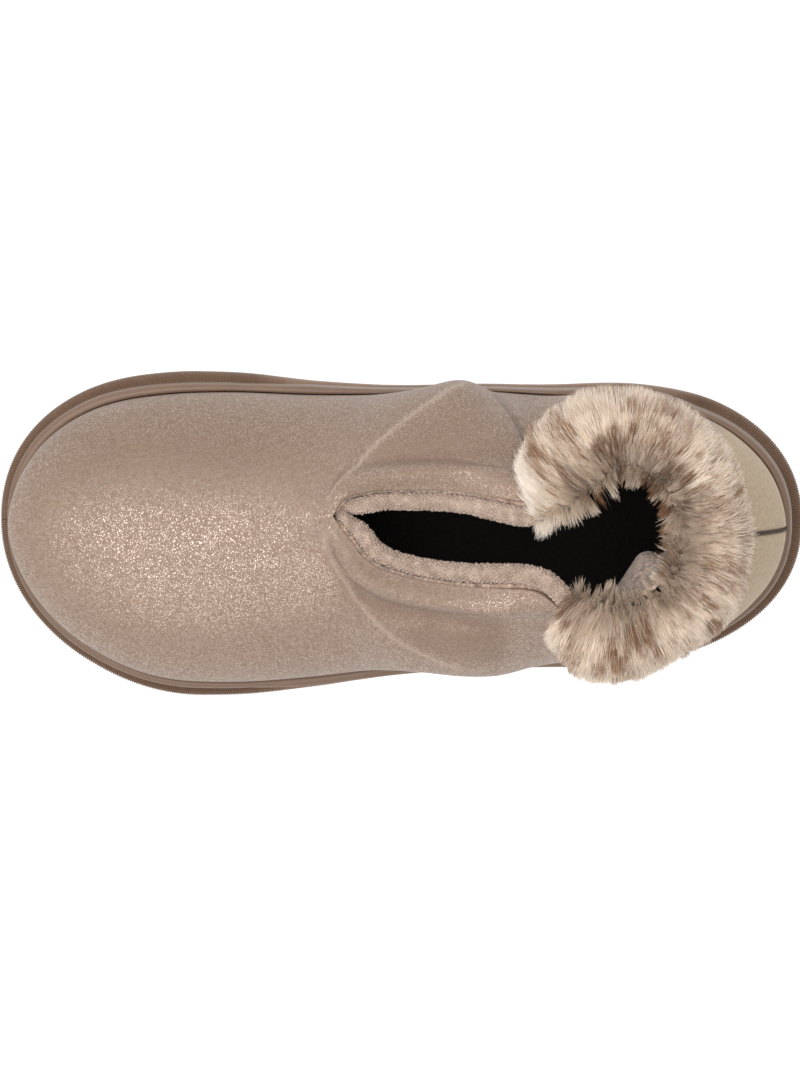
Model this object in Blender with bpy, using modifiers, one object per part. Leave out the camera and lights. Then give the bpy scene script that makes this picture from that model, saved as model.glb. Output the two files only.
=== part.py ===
# Left bootie slipper: a moulded sole, a soft hollow upper with an open V throat,
# a pile binding along the throat and a turned-out fur cuff round the collar.
# Metres, +Z up. The toe points along -X, and the inner side of the foot is +Y.
# The origin is the middle of the footprint's box, on the floor.

import functools
import math
import random

import bmesh
import bpy
from mathutils import Vector

# Sole sizes
SOLE_LENGTH = 0.270
BALL_WIDTH = 0.109
SHANK_WIDTH = 0.098
HEEL_WIDTH = 0.0972
TOE_CAP_LENGTH = 0.0675
HEEL_CAP_LENGTH = 0.0745
TOE_SPRING = 0.008
ARCH_LIFT = 0.0015
HEEL_BEVEL = 0.0025
OUTSOLE_HEIGHT = 0.0115
SOLE_HEIGHT_BALL = 0.0225
SOLE_HEIGHT_HEEL = 0.0300
TREAD_EDGE = 0.0020
BUMPER_STEP = 0.0016
LIP_ROUND = 0.0020
LIP_DEPTH = 0.0045
GROOVE_DEPTH = 0.0022
GROOVE_WIDTH = 0.0032
GROOVE_PITCH = 0.0105
GROOVE_RISE = 0.0060
TREAD_MARGIN = 0.0100

# Ledge of the sole outside the upper
RIM_TOE = 0.0072
RIM_BALL = 0.0060
RIM_SHANK_INNER = 0.0032
RIM_SHANK_OUTER = 0.0055
RIM_HEEL = 0.0062

# Upper sizes, heights above the floor
WALL = 0.0025
THROAT_FROM_TOE = 0.1190
COLLAR_BACK_FROM_HEEL = 0.0300
INSTEP_HEIGHT = 0.080
COLLAR_HEIGHT = 0.119
COLLAR_WIDTH = 0.0604
SLIT_ROUNDNESS = 0.6

# Binding, insole and fur
BINDING_RADIUS = 0.0031
BINDING_TURN = 0.0042
FUR_BACK_CLEARANCE = 0.0024
FUR_FRONT_CLEARANCE = 0.0009
LINING_CLEARANCE = 0.0010
FUR_SEAM_SPREAD = 0.0015
INSOLE_THICKNESS = 0.0050
INSOLE_ROUND = 0.0010
FUR_DROP = 0.0270
FUR_INSIDE_DROP = 0.0080
FUR_PILE = 0.0106
FUR_CROWN = 0.0110
LOCK_LENGTH = 0.0070
LOCK_SEED = 11

GAP = 0.0003
STATIONS = 28
RIB_POINTS = 9
FUR_STEPS_PER_RIB = 4

HALF_LENGTH = SOLE_LENGTH / 2

# Half-width of the sole between its round ends, as a share of the named width,
# and the sideways shift of its middle line as a share of the ball width.
OUTLINE = (
    # share of length, named width, share of it, middle line
    (0.00, BALL_WIDTH, 1.00, 0.048),
    (0.10, BALL_WIDTH, 1.00, 0.027),
    (0.20, BALL_WIDTH, 1.00, 0.004),
    (0.30, BALL_WIDTH, 1.00, 0.000),
    (0.40, BALL_WIDTH, 0.96, 0.002),
    (0.50, SHANK_WIDTH, 1.02, 0.016),
    (0.60, SHANK_WIDTH, 1.00, 0.030),
    (0.70, HEEL_WIDTH, 0.995, 0.032),
    (0.80, HEEL_WIDTH, 1.00, 0.038),
    (0.90, HEEL_WIDTH, 1.00, 0.045),
    (1.00, HEEL_WIDTH, 1.00, 0.047),
)
TOE_ROUNDNESS = 2.1
HEEL_ROUNDNESS = 2.2

RIM = (
    # share of length, inner side, outer side
    (0.00, RIM_TOE, RIM_TOE),
    (0.28, RIM_BALL, RIM_BALL),
    (0.58, RIM_SHANK_INNER, RIM_SHANK_OUTER),
    (0.80, 0.80 * RIM_HEEL, 0.90 * RIM_HEEL),
    (1.00, RIM_HEEL, RIM_HEEL),
)

# Ribs of the upper, from its foot on the sole to its top. The first part runs
# from the toe to the throat, the second from the throat round the collar to its
# back, and the third down the heel. Foot, top and rise are shares of that part's
# run and climb. Gap is a share of half the collar width, ridge a share of the
# ball width. Shoulder, drop and back are shares of the rib's height, out is a
# share of its width, and the two swells are shares of its height.
# name, foot, top, rise, gap, ridge, shoulder, inner swell, outer swell, out, drop, back
VAMP_RIBS = (
    ("toe tip", 0.000, -0.004, 0.14, 0, 0.048, 0.33, 0.00, 0.00, 0.33, 0.33, 0.00),
    ("toe front", 0.012, -0.008, 0.29, 0, 0.048, 0.50, 0.03, 0.03, 0.55, 0.00, 0.00),
    ("toe cap", 0.050, 0.022, 0.46, 0, 0.047, 0.55, 0.04, 0.04, 0.60, 0.00, 0.00),
    ("toe top", 0.130, 0.110, 0.60, 0, 0.045, 0.60, 0.04, 0.04, 0.60, 0.00, 0.00),
    ("toe box", 0.265, 0.265, 0.70, 0, 0.043, 0.60, 0.04, 0.04, 0.60, 0.00, 0.00),
    ("ball", 0.500, 0.500, 0.79, 0, 0.052, 0.60, 0.03, 0.03, 0.60, 0.00, 0.00),
    ("vamp", 0.770, 0.770, 0.89, 0, 0.075, 0.60, 0.03, 0.03, 0.57, 0.00, 0.00),
)
SHAFT_RIBS = (
    ("throat", 0.02, 0.000, 0.00, 0.00, 0.100, 0.60, 0.04, 0.04, 0.50, 0.04, 0.00),
    ("slit foot", 0.11, 0.075, 0.13, 0.34, 0.074, 0.62, 0.08, 0.06, 0.60, 0.06, 0.00),
    ("slit", 0.21, 0.180, 0.31, 0.46, 0.058, 0.64, 0.14, 0.09, 0.74, 0.12, 0.00),
    ("wing", 0.325, 0.325, 0.53, 0.51, 0.049, 0.64, 0.20, 0.13, 0.82, 0.18, 0.00),
    ("wing back", 0.42, 0.440, 0.69, 0.50, 0.040, 0.57, 0.07, 0.16, 0.58, 0.22, 0.00),
    ("collar front", 0.52, 0.545, 0.81, 0.52, 0.034, 0.45, 0.03, 0.09, 0.40, 0.30, 0.00),
    ("collar corner", 0.60, 0.630, 0.90, 0.78, 0.045, 0.38, 0.05, 0.05, 0.25, 0.34, 0.00),
    ("collar side", 0.69, 0.750, 0.96, 1.00, 0.064, 0.35, 0.05, 0.05, 0.20, 0.35, 0.00),
    ("collar rear", 0.78, 0.880, 0.99, 0.85, 0.067, 0.35, 0.05, 0.05, 0.20, 0.32, 0.04),
    ("collar turn", 0.85, 0.965, 1.00, 0.47, 0.064, 0.40, 0.06, 0.06, 0.28, 0.30, 0.08),
)
HEEL_RIBS = (
    ("collar back", -0.35, 0.00, 1.00, 0, 0.062, 0.45, 0.07, 0.07, 0.38, 0.24, 0.08),
    ("counter top", -0.05, 0.21, 0.80, 0, 0.056, 0.50, 0.07, 0.07, 0.50, 0.12, 0.03),
    ("counter", 0.26, 0.52, 0.59, 0, 0.052, 0.50, 0.06, 0.06, 0.57, 0.03, 0.01),
    ("heel curve", 0.55, 0.83, 0.385, 0, 0.049, 0.50, 0.05, 0.05, 0.60, 0.00, 0.00),
    ("heel swell", 0.80, 1.02, 0.21, 0, 0.047, 0.50, 0.04, 0.04, 0.60, 0.00, 0.00),
    ("heel tip", 1.00, 1.04, 0.09, 0, 0.047, 0.33, 0.02, 0.02, 0.33, 0.33, 0.00),
)
THROAT_RIB = len(VAMP_RIBS)
COLLAR_BACK_RIB = THROAT_RIB + len(SHAFT_RIBS)
LAST_RIB = COLLAR_BACK_RIB + len(HEEL_RIBS) - 1
RIDGE = 4
GAP_COLUMN = 3
COLLAR_FRONT_RIB = THROAT_RIB + [row[0] for row in SHAFT_RIBS].index("collar front")
STEPS_PER_RIB = 2

# Rolled lip of the throat: how far the wall stands proud at a depth below its
# edge. Depths are shares of the lip's width, heights of the lip's height.
LIP_WIDTH = 0.0120
LIP_HEIGHT = 0.0026
LIP = ((0.0, -0.35), (0.25, 0.75), (0.55, 1.0), (1.0, 0.0))

# Section of the fur round the collar's edge: how far out from the wall as a share
# of the pile, and how far down, as a share of the drop outside, above the edge as
# a share of the crown, and inside as a share of the drop inside.
FUR_OUTSIDE = ((0.30, 1.05), (0.76, 0.98), (1.00, 0.70), (1.04, 0.36), (0.92, 0.05))
FUR_OVER = ((0.66, 0.60), (0.16, 1.00), (-0.45, 0.86))
FUR_INSIDE = ((0.84, 0.10), (0.78, 0.60), (0.30, 1.10))

# Clumps of the fur along the collar, from its inner front round the heel to its
# outer front. Each column is a share of the section's own size.
FUR_CLUMPS = (
    # share of the way, outside, inside, drop, crown
    (0.00, 0.62, 0.70, 0.85, 0.60),
    (0.07, 1.00, 1.10, 0.98, 0.95),
    (0.16, 1.10, 1.05, 1.05, 1.05),
    (0.27, 1.04, 0.85, 1.00, 1.00),
    (0.38, 0.92, 0.90, 0.92, 0.95),
    (0.48, 0.82, 1.08, 0.82, 1.05),
    (0.58, 0.88, 1.05, 0.88, 1.00),
    (0.68, 0.80, 0.85, 0.98, 0.80),
    (0.75, 0.84, 0.80, 1.00, 0.62),
    (0.83, 1.00, 1.00, 1.05, 1.00),
    (0.93, 1.02, 1.10, 1.00, 1.00),
    (1.00, 0.66, 0.80, 0.88, 0.66),
)

# Rows of locks down the section, from its bottom outside to its bottom inside:
# the lean away from the wall and along its rise, the length as a share of the
# lock's length, and which of every few stations along the collar a lock stands on.
LOCK_ROWS = (
    # away, up, length, station
    (0.30, -0.95, 0.55, 0),
    (0.80, -0.60, 0.95, 2),
    (0.85, -0.50, 1.00, 1),
    (0.90, -0.40, 1.00, 0),
    (0.95, -0.20, 1.00, 2),
    (0.95, 0.20, 0.85, 1),
    (0.60, 0.75, 0.70, 0),
    (-0.10, 1.00, 0.60, 2),
    (-0.70, 0.70, 0.60, 1),
    (-0.95, 0.10, 0.55, 0),
    (-0.60, -0.75, 0.50, 2),
)
LOCK_EVERY = 3


def side_sign(side):
    """The inner side of the foot is +Y."""
    return 1.0 if side == "inner" else -1.0


def smooth_row(rows, at):
    """Reads a table of number rows at a fractional row, on a smooth curve through them."""
    last = len(rows) - 1
    first = max(0, min(last - 1, int(math.floor(at))))
    t = at - first
    before, start, end, after = (rows[max(0, min(last, first + k))] for k in (-1, 0, 1, 2))
    read = []
    for a, b, c, d in zip(before, start, end, after):
        leave, arrive = (c - a) / 2, (d - b) / 2
        read.append(
            (2 * t**3 - 3 * t**2 + 1) * b
            + (t**3 - 2 * t**2 + t) * leave
            + (3 * t**2 - 2 * t**3) * c
            + (t**3 - t**2) * arrive
        )
    return read


def by_share(table, share):
    """Reads a table whose first column is a rising share, smoothly between its rows."""
    shares = [row[0] for row in table]
    share = max(shares[0], min(shares[-1], share))
    index = max(k for k, value in enumerate(shares[:-1]) if value <= share)
    t = (share - shares[index]) / (shares[index + 1] - shares[index])
    return smooth_row([row[1:] for row in table], index + t)


def share_at(x):
    """Share of the sole's length, from the toe."""
    return (x + HALF_LENGTH) / SOLE_LENGTH


def round_end(distance, length, roundness):
    """How far a round end has widened at this distance from its tip."""
    if distance >= length:
        return 1.0
    inside = 1 - max(0.0, 1 - distance / length) ** roundness
    return max(0.0, inside) ** (1 / roundness)


def outline_at(share):
    """Middle line and half-width of the sole at a share of its length."""
    rows = [(s, width * part / 2, middle * BALL_WIDTH) for s, width, part, middle in OUTLINE]
    half_width, middle = by_share(rows, share)
    along = share * SOLE_LENGTH
    half_width *= round_end(along, TOE_CAP_LENGTH, TOE_ROUNDNESS)
    half_width *= round_end(SOLE_LENGTH - along, HEEL_CAP_LENGTH, HEEL_ROUNDNESS)
    return middle, half_width


def outline_point(share, side):
    middle, half_width = outline_at(share)
    return Vector((share * SOLE_LENGTH - HALF_LENGTH, middle + side_sign(side) * half_width, 0))


def outline_normal(share, side):
    """Unit vector out of the sole's side, in plan."""
    step = 0.002
    if share < step or share > 1 - step:
        return Vector((-1 if share < 0.5 else 1, 0, 0))
    along = outline_point(share + step, side) - outline_point(share - step, side)
    return Vector((-along.y, along.x, 0)).normalized() * side_sign(side)


def spaced_shares(count):
    """Shares of the length, closer together at the round ends."""
    return [(1 - math.cos(math.pi * k / count)) / 2 for k in range(count + 1)]


def ground_height(x):
    """Underside of the sole above the floor: toe spring, arch and heel bevel."""
    share = share_at(x)
    toe_start, arch_start, arch_end, heel_end = 0.27, 0.42, 0.68, 0.93
    if share < toe_start:
        return TOE_SPRING * ((toe_start - share) / toe_start) ** 2
    if arch_start < share < arch_end:
        turn = 2 * math.pi * (share - arch_start) / (arch_end - arch_start)
        return ARCH_LIFT * (1 - math.cos(turn)) / 2
    if share > heel_end:
        return HEEL_BEVEL * ((share - heel_end) / (1 - heel_end)) ** 2
    return 0.0


def lip_height(x):
    """Top edge of the sole above the floor."""
    share = share_at(x)
    climb = max(0.0, min(1.0, (share - 0.35) / 0.45))
    climb = climb * climb * (3 - 2 * climb)
    spring = 0.6 * TOE_SPRING * max(0.0, (0.30 - share) / 0.30) ** 2
    return SOLE_HEIGHT_BALL + (SOLE_HEIGHT_HEEL - SOLE_HEIGHT_BALL) * climb + spring


def parting_height(x):
    """Where the midsole stands on the outsole."""
    rise = 0.55 * (lip_height(x) - SOLE_HEIGHT_BALL)
    return max(ground_height(x) + 0.8 * OUTSOLE_HEIGHT, OUTSOLE_HEIGHT + rise * 0.4)


def bumper_inset(share):
    """The ribbed bumper stands out at the toe and heel and is flush at the shank."""
    flat = max(0.0, min(1.0, (0.62 - abs(share - 0.56) / 0.40) / 0.62 + 0.35))
    return BUMPER_STEP * 0.85 * flat


def rim_at(share, side):
    inner, outer = by_share(RIM, share)
    return inner if side == "inner" else outer


def inset_point(share, side, inset, height):
    """A point of the outline moved inwards, at a height that is a function of x."""
    distance = inset(share, side) if callable(inset) else inset
    point = outline_point(share, side) - outline_normal(share, side) * distance
    return Vector((point.x, point.y, height(point.x)))


def plan_ring(inset, height):
    """Closed loop: toe tip, inner side, heel tip, outer side."""
    shares = spaced_shares(STATIONS)
    inner = [inset_point(share, "inner", inset, height) for share in shares]
    outer = [inset_point(share, "outer", inset, height) for share in shares[1:-1]]
    return inner + outer[::-1]


def new_object(name, mesh, material, collection):
    shape = bpy.data.objects.new(name, mesh)
    collection.objects.link(shape)
    if material:
        mesh.materials.append(material)
    return shape


def finish_mesh(work, name):
    bmesh.ops.recalc_face_normals(work, faces=work.faces)
    mesh = bpy.data.meshes.new(name)
    work.to_mesh(mesh)
    work.free()
    mesh.shade_smooth()
    mesh.set_sharp_from_angle(angle=math.radians(42))
    return mesh


def stacked_rings(name, rings):
    """A solid through plan rings, closed by strips across its first and last ring."""
    work = bmesh.new()
    loops = [[work.verts.new(point) for point in ring] for ring in rings]
    count = len(loops[0])
    for low, high in zip(loops, loops[1:]):
        for k in range(count):
            turn = (k + 1) % count
            work.faces.new((low[k], low[turn], high[turn], high[k]))
    for loop in (loops[0], loops[-1]):
        work.faces.new((loop[0], loop[1], loop[-1]))
        for k in range(1, count // 2 - 1):
            work.faces.new((loop[k], loop[k + 1], loop[-k - 1], loop[-k]))
        middle = count // 2
        work.faces.new((loop[middle - 1], loop[middle], loop[middle + 1]))
    return finish_mesh(work, name)


def above(height, lift):
    return lambda x: height(x) + lift


def foot_height(x):
    """Where the upper and the insole stand in the sole."""
    return lip_height(x) - LIP_DEPTH


def outsole_mesh():
    def side(share, _side):
        return bumper_inset(share)

    def inside(amount):
        return lambda share, _side: bumper_inset(share) + amount

    crown = above(parting_height, -GAP)
    return stacked_rings(
        "outsole",
        [
            plan_ring(inside(TREAD_EDGE), ground_height),
            plan_ring(side, above(ground_height, TREAD_EDGE)),
            plan_ring(side, above(parting_height, -GAP - BUMPER_STEP)),
            plan_ring(inside(0.35 * BUMPER_STEP), above(parting_height, -GAP - 0.3 * BUMPER_STEP)),
            plan_ring(inside(BUMPER_STEP), crown),
        ],
    )


def midsole_mesh():
    def wall(amount):
        return lambda share, _side: BUMPER_STEP + amount

    def seat(share, side):
        return rim_at(share, side) - GAP

    def lip_inset(part):
        return lambda share, side: BUMPER_STEP + part * (seat(share, side) - BUMPER_STEP)

    def between(part):
        return lambda x: parting_height(x) + part * (lip_height(x) - parting_height(x))

    return stacked_rings(
        "midsole",
        [
            plan_ring(wall(0.4 * LIP_ROUND), parting_height),
            plan_ring(wall(0), above(parting_height, 0.4 * LIP_ROUND)),
            plan_ring(wall(0.15 * LIP_ROUND), between(0.5)),
            plan_ring(wall(0), above(lip_height, -LIP_ROUND)),
            plan_ring(lip_inset(0.25), above(lip_height, -0.3 * LIP_ROUND)),
            plan_ring(lip_inset(0.6), lip_height),
            plan_ring(seat, lip_height),
            plan_ring(seat, foot_height),
        ],
    )


def rib_rows():
    """The three rib tables as one, in metres and in shares of each rib."""
    toe = RIM_TOE - HALF_LENGTH
    throat = THROAT_FROM_TOE - HALF_LENGTH
    collar_back = HALF_LENGTH - COLLAR_BACK_FROM_HEEL
    heel = HALF_LENGTH - RIM_HEEL
    instep_climb = INSTEP_HEIGHT - lip_height(throat)
    collar_climb = COLLAR_HEIGHT - INSTEP_HEIGHT
    heel_fall = COLLAR_HEIGHT - lip_height(heel)
    rows = []
    for table, start, end in (
        (VAMP_RIBS, toe, throat),
        (SHAFT_RIBS, throat, collar_back),
        (HEEL_RIBS, collar_back, heel),
    ):
        for _name, foot, top, rise, gap, ridge, *shape in table:
            x = start + top * (end - start)
            if table is VAMP_RIBS:
                z = lip_height(x) + rise * instep_climb
            elif table is SHAFT_RIBS:
                z = INSTEP_HEIGHT + rise * collar_climb
            else:
                z = lip_height(heel) + rise * heel_fall
            foot_x = start + foot * (end - start)
            rows.append([foot_x, x, z, gap * COLLAR_WIDTH / 2, ridge * BALL_WIDTH, *shape])
    return rows


RIB_ROWS = rib_rows()


def foot_point(foot_x, side):
    """Where a rib leaves the sole, inside the lip."""
    toe, heel = RIM_TOE - HALF_LENGTH, HALF_LENGTH - RIM_HEEL
    foot_x = max(toe, min(heel, foot_x))
    low, high = 0.0, 1.0
    for _ in range(40):
        share = (low + high) / 2
        rim = rim_at(share, side)
        x = (outline_point(share, side) - outline_normal(share, side) * rim).x
        low, high = (share, high) if x < foot_x else (low, share)
    share = 0.0 if foot_x <= toe + GAP else 1.0 if foot_x >= heel - GAP else (low + high) / 2
    normal = outline_normal(share, side)
    point = outline_point(share, side) - normal * rim_at(share, side)
    if share in (0.0, 1.0):
        point.y = outline_at(share)[0]
    return point, normal


def rib(at, side, count):
    """Points of one rib from the lip of the sole to the upper's top edge."""
    row = smooth_row(RIB_ROWS, at)
    foot_x, top_x, top_z, gap, ridge, shoulder, swell_inner, swell_outer, out, drop, back = row
    swell = swell_inner if side == "inner" else swell_outer
    sign = side_sign(side)
    open_rib = THROAT_RIB < at < COLLAR_BACK_RIB
    gap = max(0.0, gap) if open_rib else 0.0
    if 0 < at - THROAT_RIB < 1:
        gap = RIB_ROWS[THROAT_RIB + 1][GAP_COLUMN] * (at - THROAT_RIB) ** SLIT_ROUNDNESS
    foot, normal = foot_point(foot_x, side)
    if at in (0, LAST_RIB):
        foot.y = ridge
    start = Vector((foot.x, foot.y, lip_height(foot.x)))
    end = Vector((top_x, ridge + sign * gap, top_z))
    height = end.z - start.z
    width = abs(start.y - end.y)
    low_handle = start + normal * swell * height + Vector((0, 0, shoulder * height))
    high_handle = end + Vector((back * height, sign * out * width, -drop * height))
    points = []
    for k in range(count + 1):
        t = k / count
        points.append(
            (1 - t) ** 3 * start
            + 3 * t * (1 - t) ** 2 * low_handle
            + 3 * t**2 * (1 - t) * high_handle
            + t**3 * end
        )
    return points


FINE = 40


@functools.lru_cache(maxsize=None)
def measured_rib(at, side):
    """Points of a rib from its top down, and their distances from the top."""
    fine = rib(at, side, FINE)[::-1]
    lengths = [0.0]
    for a, b in zip(fine, fine[1:]):
        lengths.append(lengths[-1] + (b - a).length)
    return fine, lengths


def rib_by_depth(at, side, depths):
    """Points of a rib at depths below its top, measured along it."""
    fine, lengths = measured_rib(at, side)
    found = []
    for depth in depths:
        depth = max(0.0, min(lengths[-1], depth))
        k = max(i for i in range(FINE) if lengths[i] <= depth)
        span = max(1e-9, lengths[k + 1] - lengths[k])
        found.append(fine[k].lerp(fine[k + 1], (depth - lengths[k]) / span))
    return found


def surface_normal(at, side, depth):
    """Unit vector out of the upper at a depth below a rib's top."""
    step_along, step_down = 0.08, 0.0008
    ahead = rib_by_depth(min(LAST_RIB, at + step_along), side, [depth])[0]
    behind = rib_by_depth(max(0, at - step_along), side, [depth])[0]
    lower, upper = rib_by_depth(at, side, [depth + step_down, max(0.0, depth - step_down)])
    normal = (ahead - behind).cross(upper - lower) * -side_sign(side)
    return normal.normalized()


def lip_lift(at, depth):
    """How far the throat's rolled lip stands proud of the wall."""
    start, end = THROAT_RIB - 0.6, COLLAR_FRONT_RIB + 1.0
    along = max(0.0, min(1.0, min(at - start, end - at)))
    return LIP_HEIGHT * along * by_share(LIP, depth / LIP_WIDTH)[0] if depth < LIP_WIDTH else 0.0


def rib_length(at, side):
    return measured_rib(at, side)[1][-1]


def upper_point(at, side, depth):
    point = rib_by_depth(at, side, [depth])[0]
    lift = lip_lift(at, depth)
    if abs(lift) > 1e-6:
        point = point + surface_normal(at, side, max(depth, 0.001)) * lift
        if at <= THROAT_RIB and depth == 0:
            point.y = smooth_row(RIB_ROWS, at)[RIDGE]
    return point


def rib_depths(length):
    """Depths of a rib's points: close together at the lip, then even."""
    near = [0.0, 0.22 * LIP_WIDTH, 0.55 * LIP_WIDTH, LIP_WIDTH]
    if length < 3 * LIP_WIDTH:
        near = [length * k / 12 for k in range(4)]
    rest = RIB_POINTS - len(near) + 1
    return near + [near[-1] + (length - near[-1]) * k / rest for k in range(1, rest + 1)]


def insole_mesh():
    """Follows the foot of the upper, rib by rib, inside its wall."""

    def ring(extra, lift):
        loop = []
        for side in ("inner", "outer"):
            places = []
            for step in range(LAST_RIB * STEPS_PER_RIB + 1):
                at = step / STEPS_PER_RIB
                point, normal = foot_point(smooth_row(RIB_ROWS, at)[0], side)
                point = point - normal * (WALL + GAP + extra)
                places.append(Vector((point.x, point.y, foot_height(point.x) + lift)))
            loop += places if side == "inner" else places[-2:0:-1]
        return loop

    return stacked_rings(
        "insole",
        [
            ring(INSOLE_ROUND, GAP),
            ring(0, GAP + INSOLE_ROUND),
            ring(0, GAP + INSOLE_THICKNESS - INSOLE_ROUND),
            ring(INSOLE_ROUND, GAP + INSOLE_THICKNESS),
        ],
    )


def upper_mesh():
    """One open skin: both sides welded along the vamp's ridge and down the heel."""
    work = bmesh.new()
    for side in ("inner", "outer"):
        columns = []
        for step in range(LAST_RIB * STEPS_PER_RIB + 1):
            at = step / STEPS_PER_RIB
            points = [upper_point(at, side, depth) for depth in rib_depths(rib_length(at, side))]
            foot = points[-1]
            points.append(Vector((foot.x, foot.y, foot_height(foot.x) + GAP)))
            columns.append([work.verts.new(point) for point in points])
        for left, right in zip(columns, columns[1:]):
            for k in range(len(left) - 1):
                work.faces.new((left[k], right[k], right[k + 1], left[k + 1]))
    bmesh.ops.remove_doubles(work, verts=work.verts, dist=0.00002)
    return finish_mesh(work, "upper")


def make_upper(material, collection):
    shape = new_object("upper", upper_mesh(), material, collection)
    wall = shape.modifiers.new("wall", "SOLIDIFY")
    wall.thickness = WALL
    wall.offset = -1
    wall.use_even_offset = True
    wall.thickness_clamp = 1.0
    return shape


def back_seam(depth):
    """Place and outward normal of the upper's back seam at a depth below the collar."""
    count = 80
    rows = [smooth_row(RIB_ROWS, COLLAR_BACK_RIB + (LAST_RIB - COLLAR_BACK_RIB) * k / count) for k in range(count + 1)]
    line = [Vector((row[1], row[RIDGE], row[2])) for row in rows]
    walked = 0.0
    for a, b in zip(line, line[1:]):
        step = (b - a).length
        if walked + step >= depth:
            along = (b - a).normalized()
            return a + along * (depth - walked), Vector((-along.z, 0, along.x)).normalized()
        walked += step
    return line[-1], Vector((1, 0, 0))


@functools.lru_cache(maxsize=None)
def wall_at(at, side, depth):
    """Place and outward normal of the upper at a depth below the collar."""
    if at >= COLLAR_BACK_RIB:
        return back_seam(depth)
    return upper_point(at, side, depth), surface_normal(at, side, max(0.001, depth))


def binding_centre(at, side):
    """The pile roll lies against the wall's edge, on the throat's side of it."""
    edge, below = upper_point(at, side, 0.0), upper_point(at, side, 0.22 * LIP_WIDTH)
    normal = surface_normal(at, side, 0.001)
    onward = (edge - below).normalized()
    return edge + onward * (BINDING_RADIUS + GAP) * 0.75 - normal * (WALL / 2 + BINDING_RADIUS * 0.6)


def make_binding(material, collection):
    """Pile roll along both edges of the throat, round its foot."""
    first, steps = THROAT_RIB + 0.45, 11
    arms = {}
    for side, last in (("inner", COLLAR_FRONT_RIB - 0.3), ("outer", COLLAR_FRONT_RIB + 0.6)):
        arms[side] = [binding_centre(first + (last - first) * k / steps, side) for k in range(steps + 1)]
    start, end = arms["inner"][0], arms["outer"][0]
    middle, half = (start + end) / 2, (start - end) / 2
    ahead = ((start - arms["inner"][1]) + (end - arms["outer"][1])).normalized()
    turns = [math.pi * k / 8 for k in range(1, 8)]
    turn = [middle + half * math.cos(a) + ahead * BINDING_TURN * math.sin(a) for a in turns]
    points = arms["inner"][::-1] + turn + arms["outer"]
    data = bpy.data.curves.new("throat_binding", "CURVE")
    data.dimensions = "3D"
    data.bevel_depth = BINDING_RADIUS
    data.bevel_resolution = 3
    data.use_fill_caps = True
    line = data.splines.new("POLY")
    line.points.add(len(points) - 1)
    for point, place in zip(line.points, points):
        point.co = (*place, 1)
    data.materials.append(material)
    shape = bpy.data.objects.new("throat_binding", data)
    collection.objects.link(shape)
    return shape


def fur_path():
    """Ribs the fur follows, from the inner front of the collar round its back."""
    arms = {}
    for side, first in (("inner", COLLAR_FRONT_RIB), ("outer", COLLAR_FRONT_RIB + 1)):
        count = (COLLAR_BACK_RIB - first) * FUR_STEPS_PER_RIB
        arms[side] = [(side, first + k / FUR_STEPS_PER_RIB) for k in range(count)]
    return arms["inner"] + [("inner", COLLAR_BACK_RIB)] + arms["outer"][::-1]


def edge_frame(at, side):
    """Edge of the collar, the wall's outward normal there, and the way the wall rises."""
    edge, normal = wall_at(at, side, 0.0)
    onward = (edge - wall_at(at, side, 0.004)[0]).normalized()
    return edge, normal, onward


def fur_section(at, side, share):
    """Closed section of the fur round the collar's edge, following the wall."""
    outside, inside, drop, crown = by_share(FUR_CLUMPS, share)
    edge, normal, onward = edge_frame(at, side)
    depths = rib_depths(0.095)[1:5]
    near_seam = max(0.0, 1 - (COLLAR_BACK_RIB - at) / 0.75)
    near_front = max(0.0, 1 - (at - COLLAR_FRONT_RIB) / 1.5)

    def clear(depth):
        seam_part = FUR_BACK_CLEARANCE * near_seam * min(1.0, depth / LIP_WIDTH + 0.2)
        return 1.5 * GAP + seam_part + FUR_FRONT_CLEARANCE * near_front

    section = []
    for out, down in FUR_OUTSIDE:
        wall, away = wall_at(at, side, down * drop * FUR_DROP)
        section.append(wall + away * (GAP + outside * out * FUR_PILE))
    for out, over in FUR_OVER:
        reach = (outside if out > 0 else inside) * out * FUR_PILE
        section.append(edge + normal * reach + onward * (GAP + over * crown * FUR_CROWN))
    for into, down in FUR_INSIDE:
        wall, away = wall_at(at, side, down * FUR_INSIDE_DROP)
        section.append(wall - away * (WALL + GAP + inside * into * FUR_PILE))
    for depth in (depths[1], depths[0]):
        wall, away = wall_at(at, side, depth)
        section.append(wall - away * (WALL + LINING_CLEARANCE + clear(depth)))
    section.append(edge - normal * (WALL + LINING_CLEARANCE + clear(0)) + onward * 2 * GAP)
    section.append(edge + normal * clear(0) + onward * 2 * GAP)
    for depth in depths:
        wall, away = wall_at(at, side, depth)
        section.append(wall + away * clear(depth))
    seam, sign = RIB_ROWS[COLLAR_BACK_RIB][RIDGE], side_sign(side)
    if 0 < COLLAR_BACK_RIB - at < 0.4:
        for point in section:
            point.y = seam + sign * max(FUR_SEAM_SPREAD, (point.y - seam) * sign)
    return section


def pull_locks(section, at, side, station):
    """Pulls the section's own points out into the tips of locks."""
    _edge, normal, onward = edge_frame(at, side)
    ahead = onward.cross(normal)
    near_seam = min(1.0, abs(COLLAR_BACK_RIB - at) / 0.8)
    for row, (away, up, length, turn) in enumerate(LOCK_ROWS):
        reach = LOCK_LENGTH * length * random.uniform(0.75, 1.15)
        sway = random.uniform(-0.3, 0.3)
        if station % LOCK_EVERY == turn:
            if away < 0:
                reach *= near_seam
            section[row] += (normal * away + onward * up + ahead * sway).normalized() * reach


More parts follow.
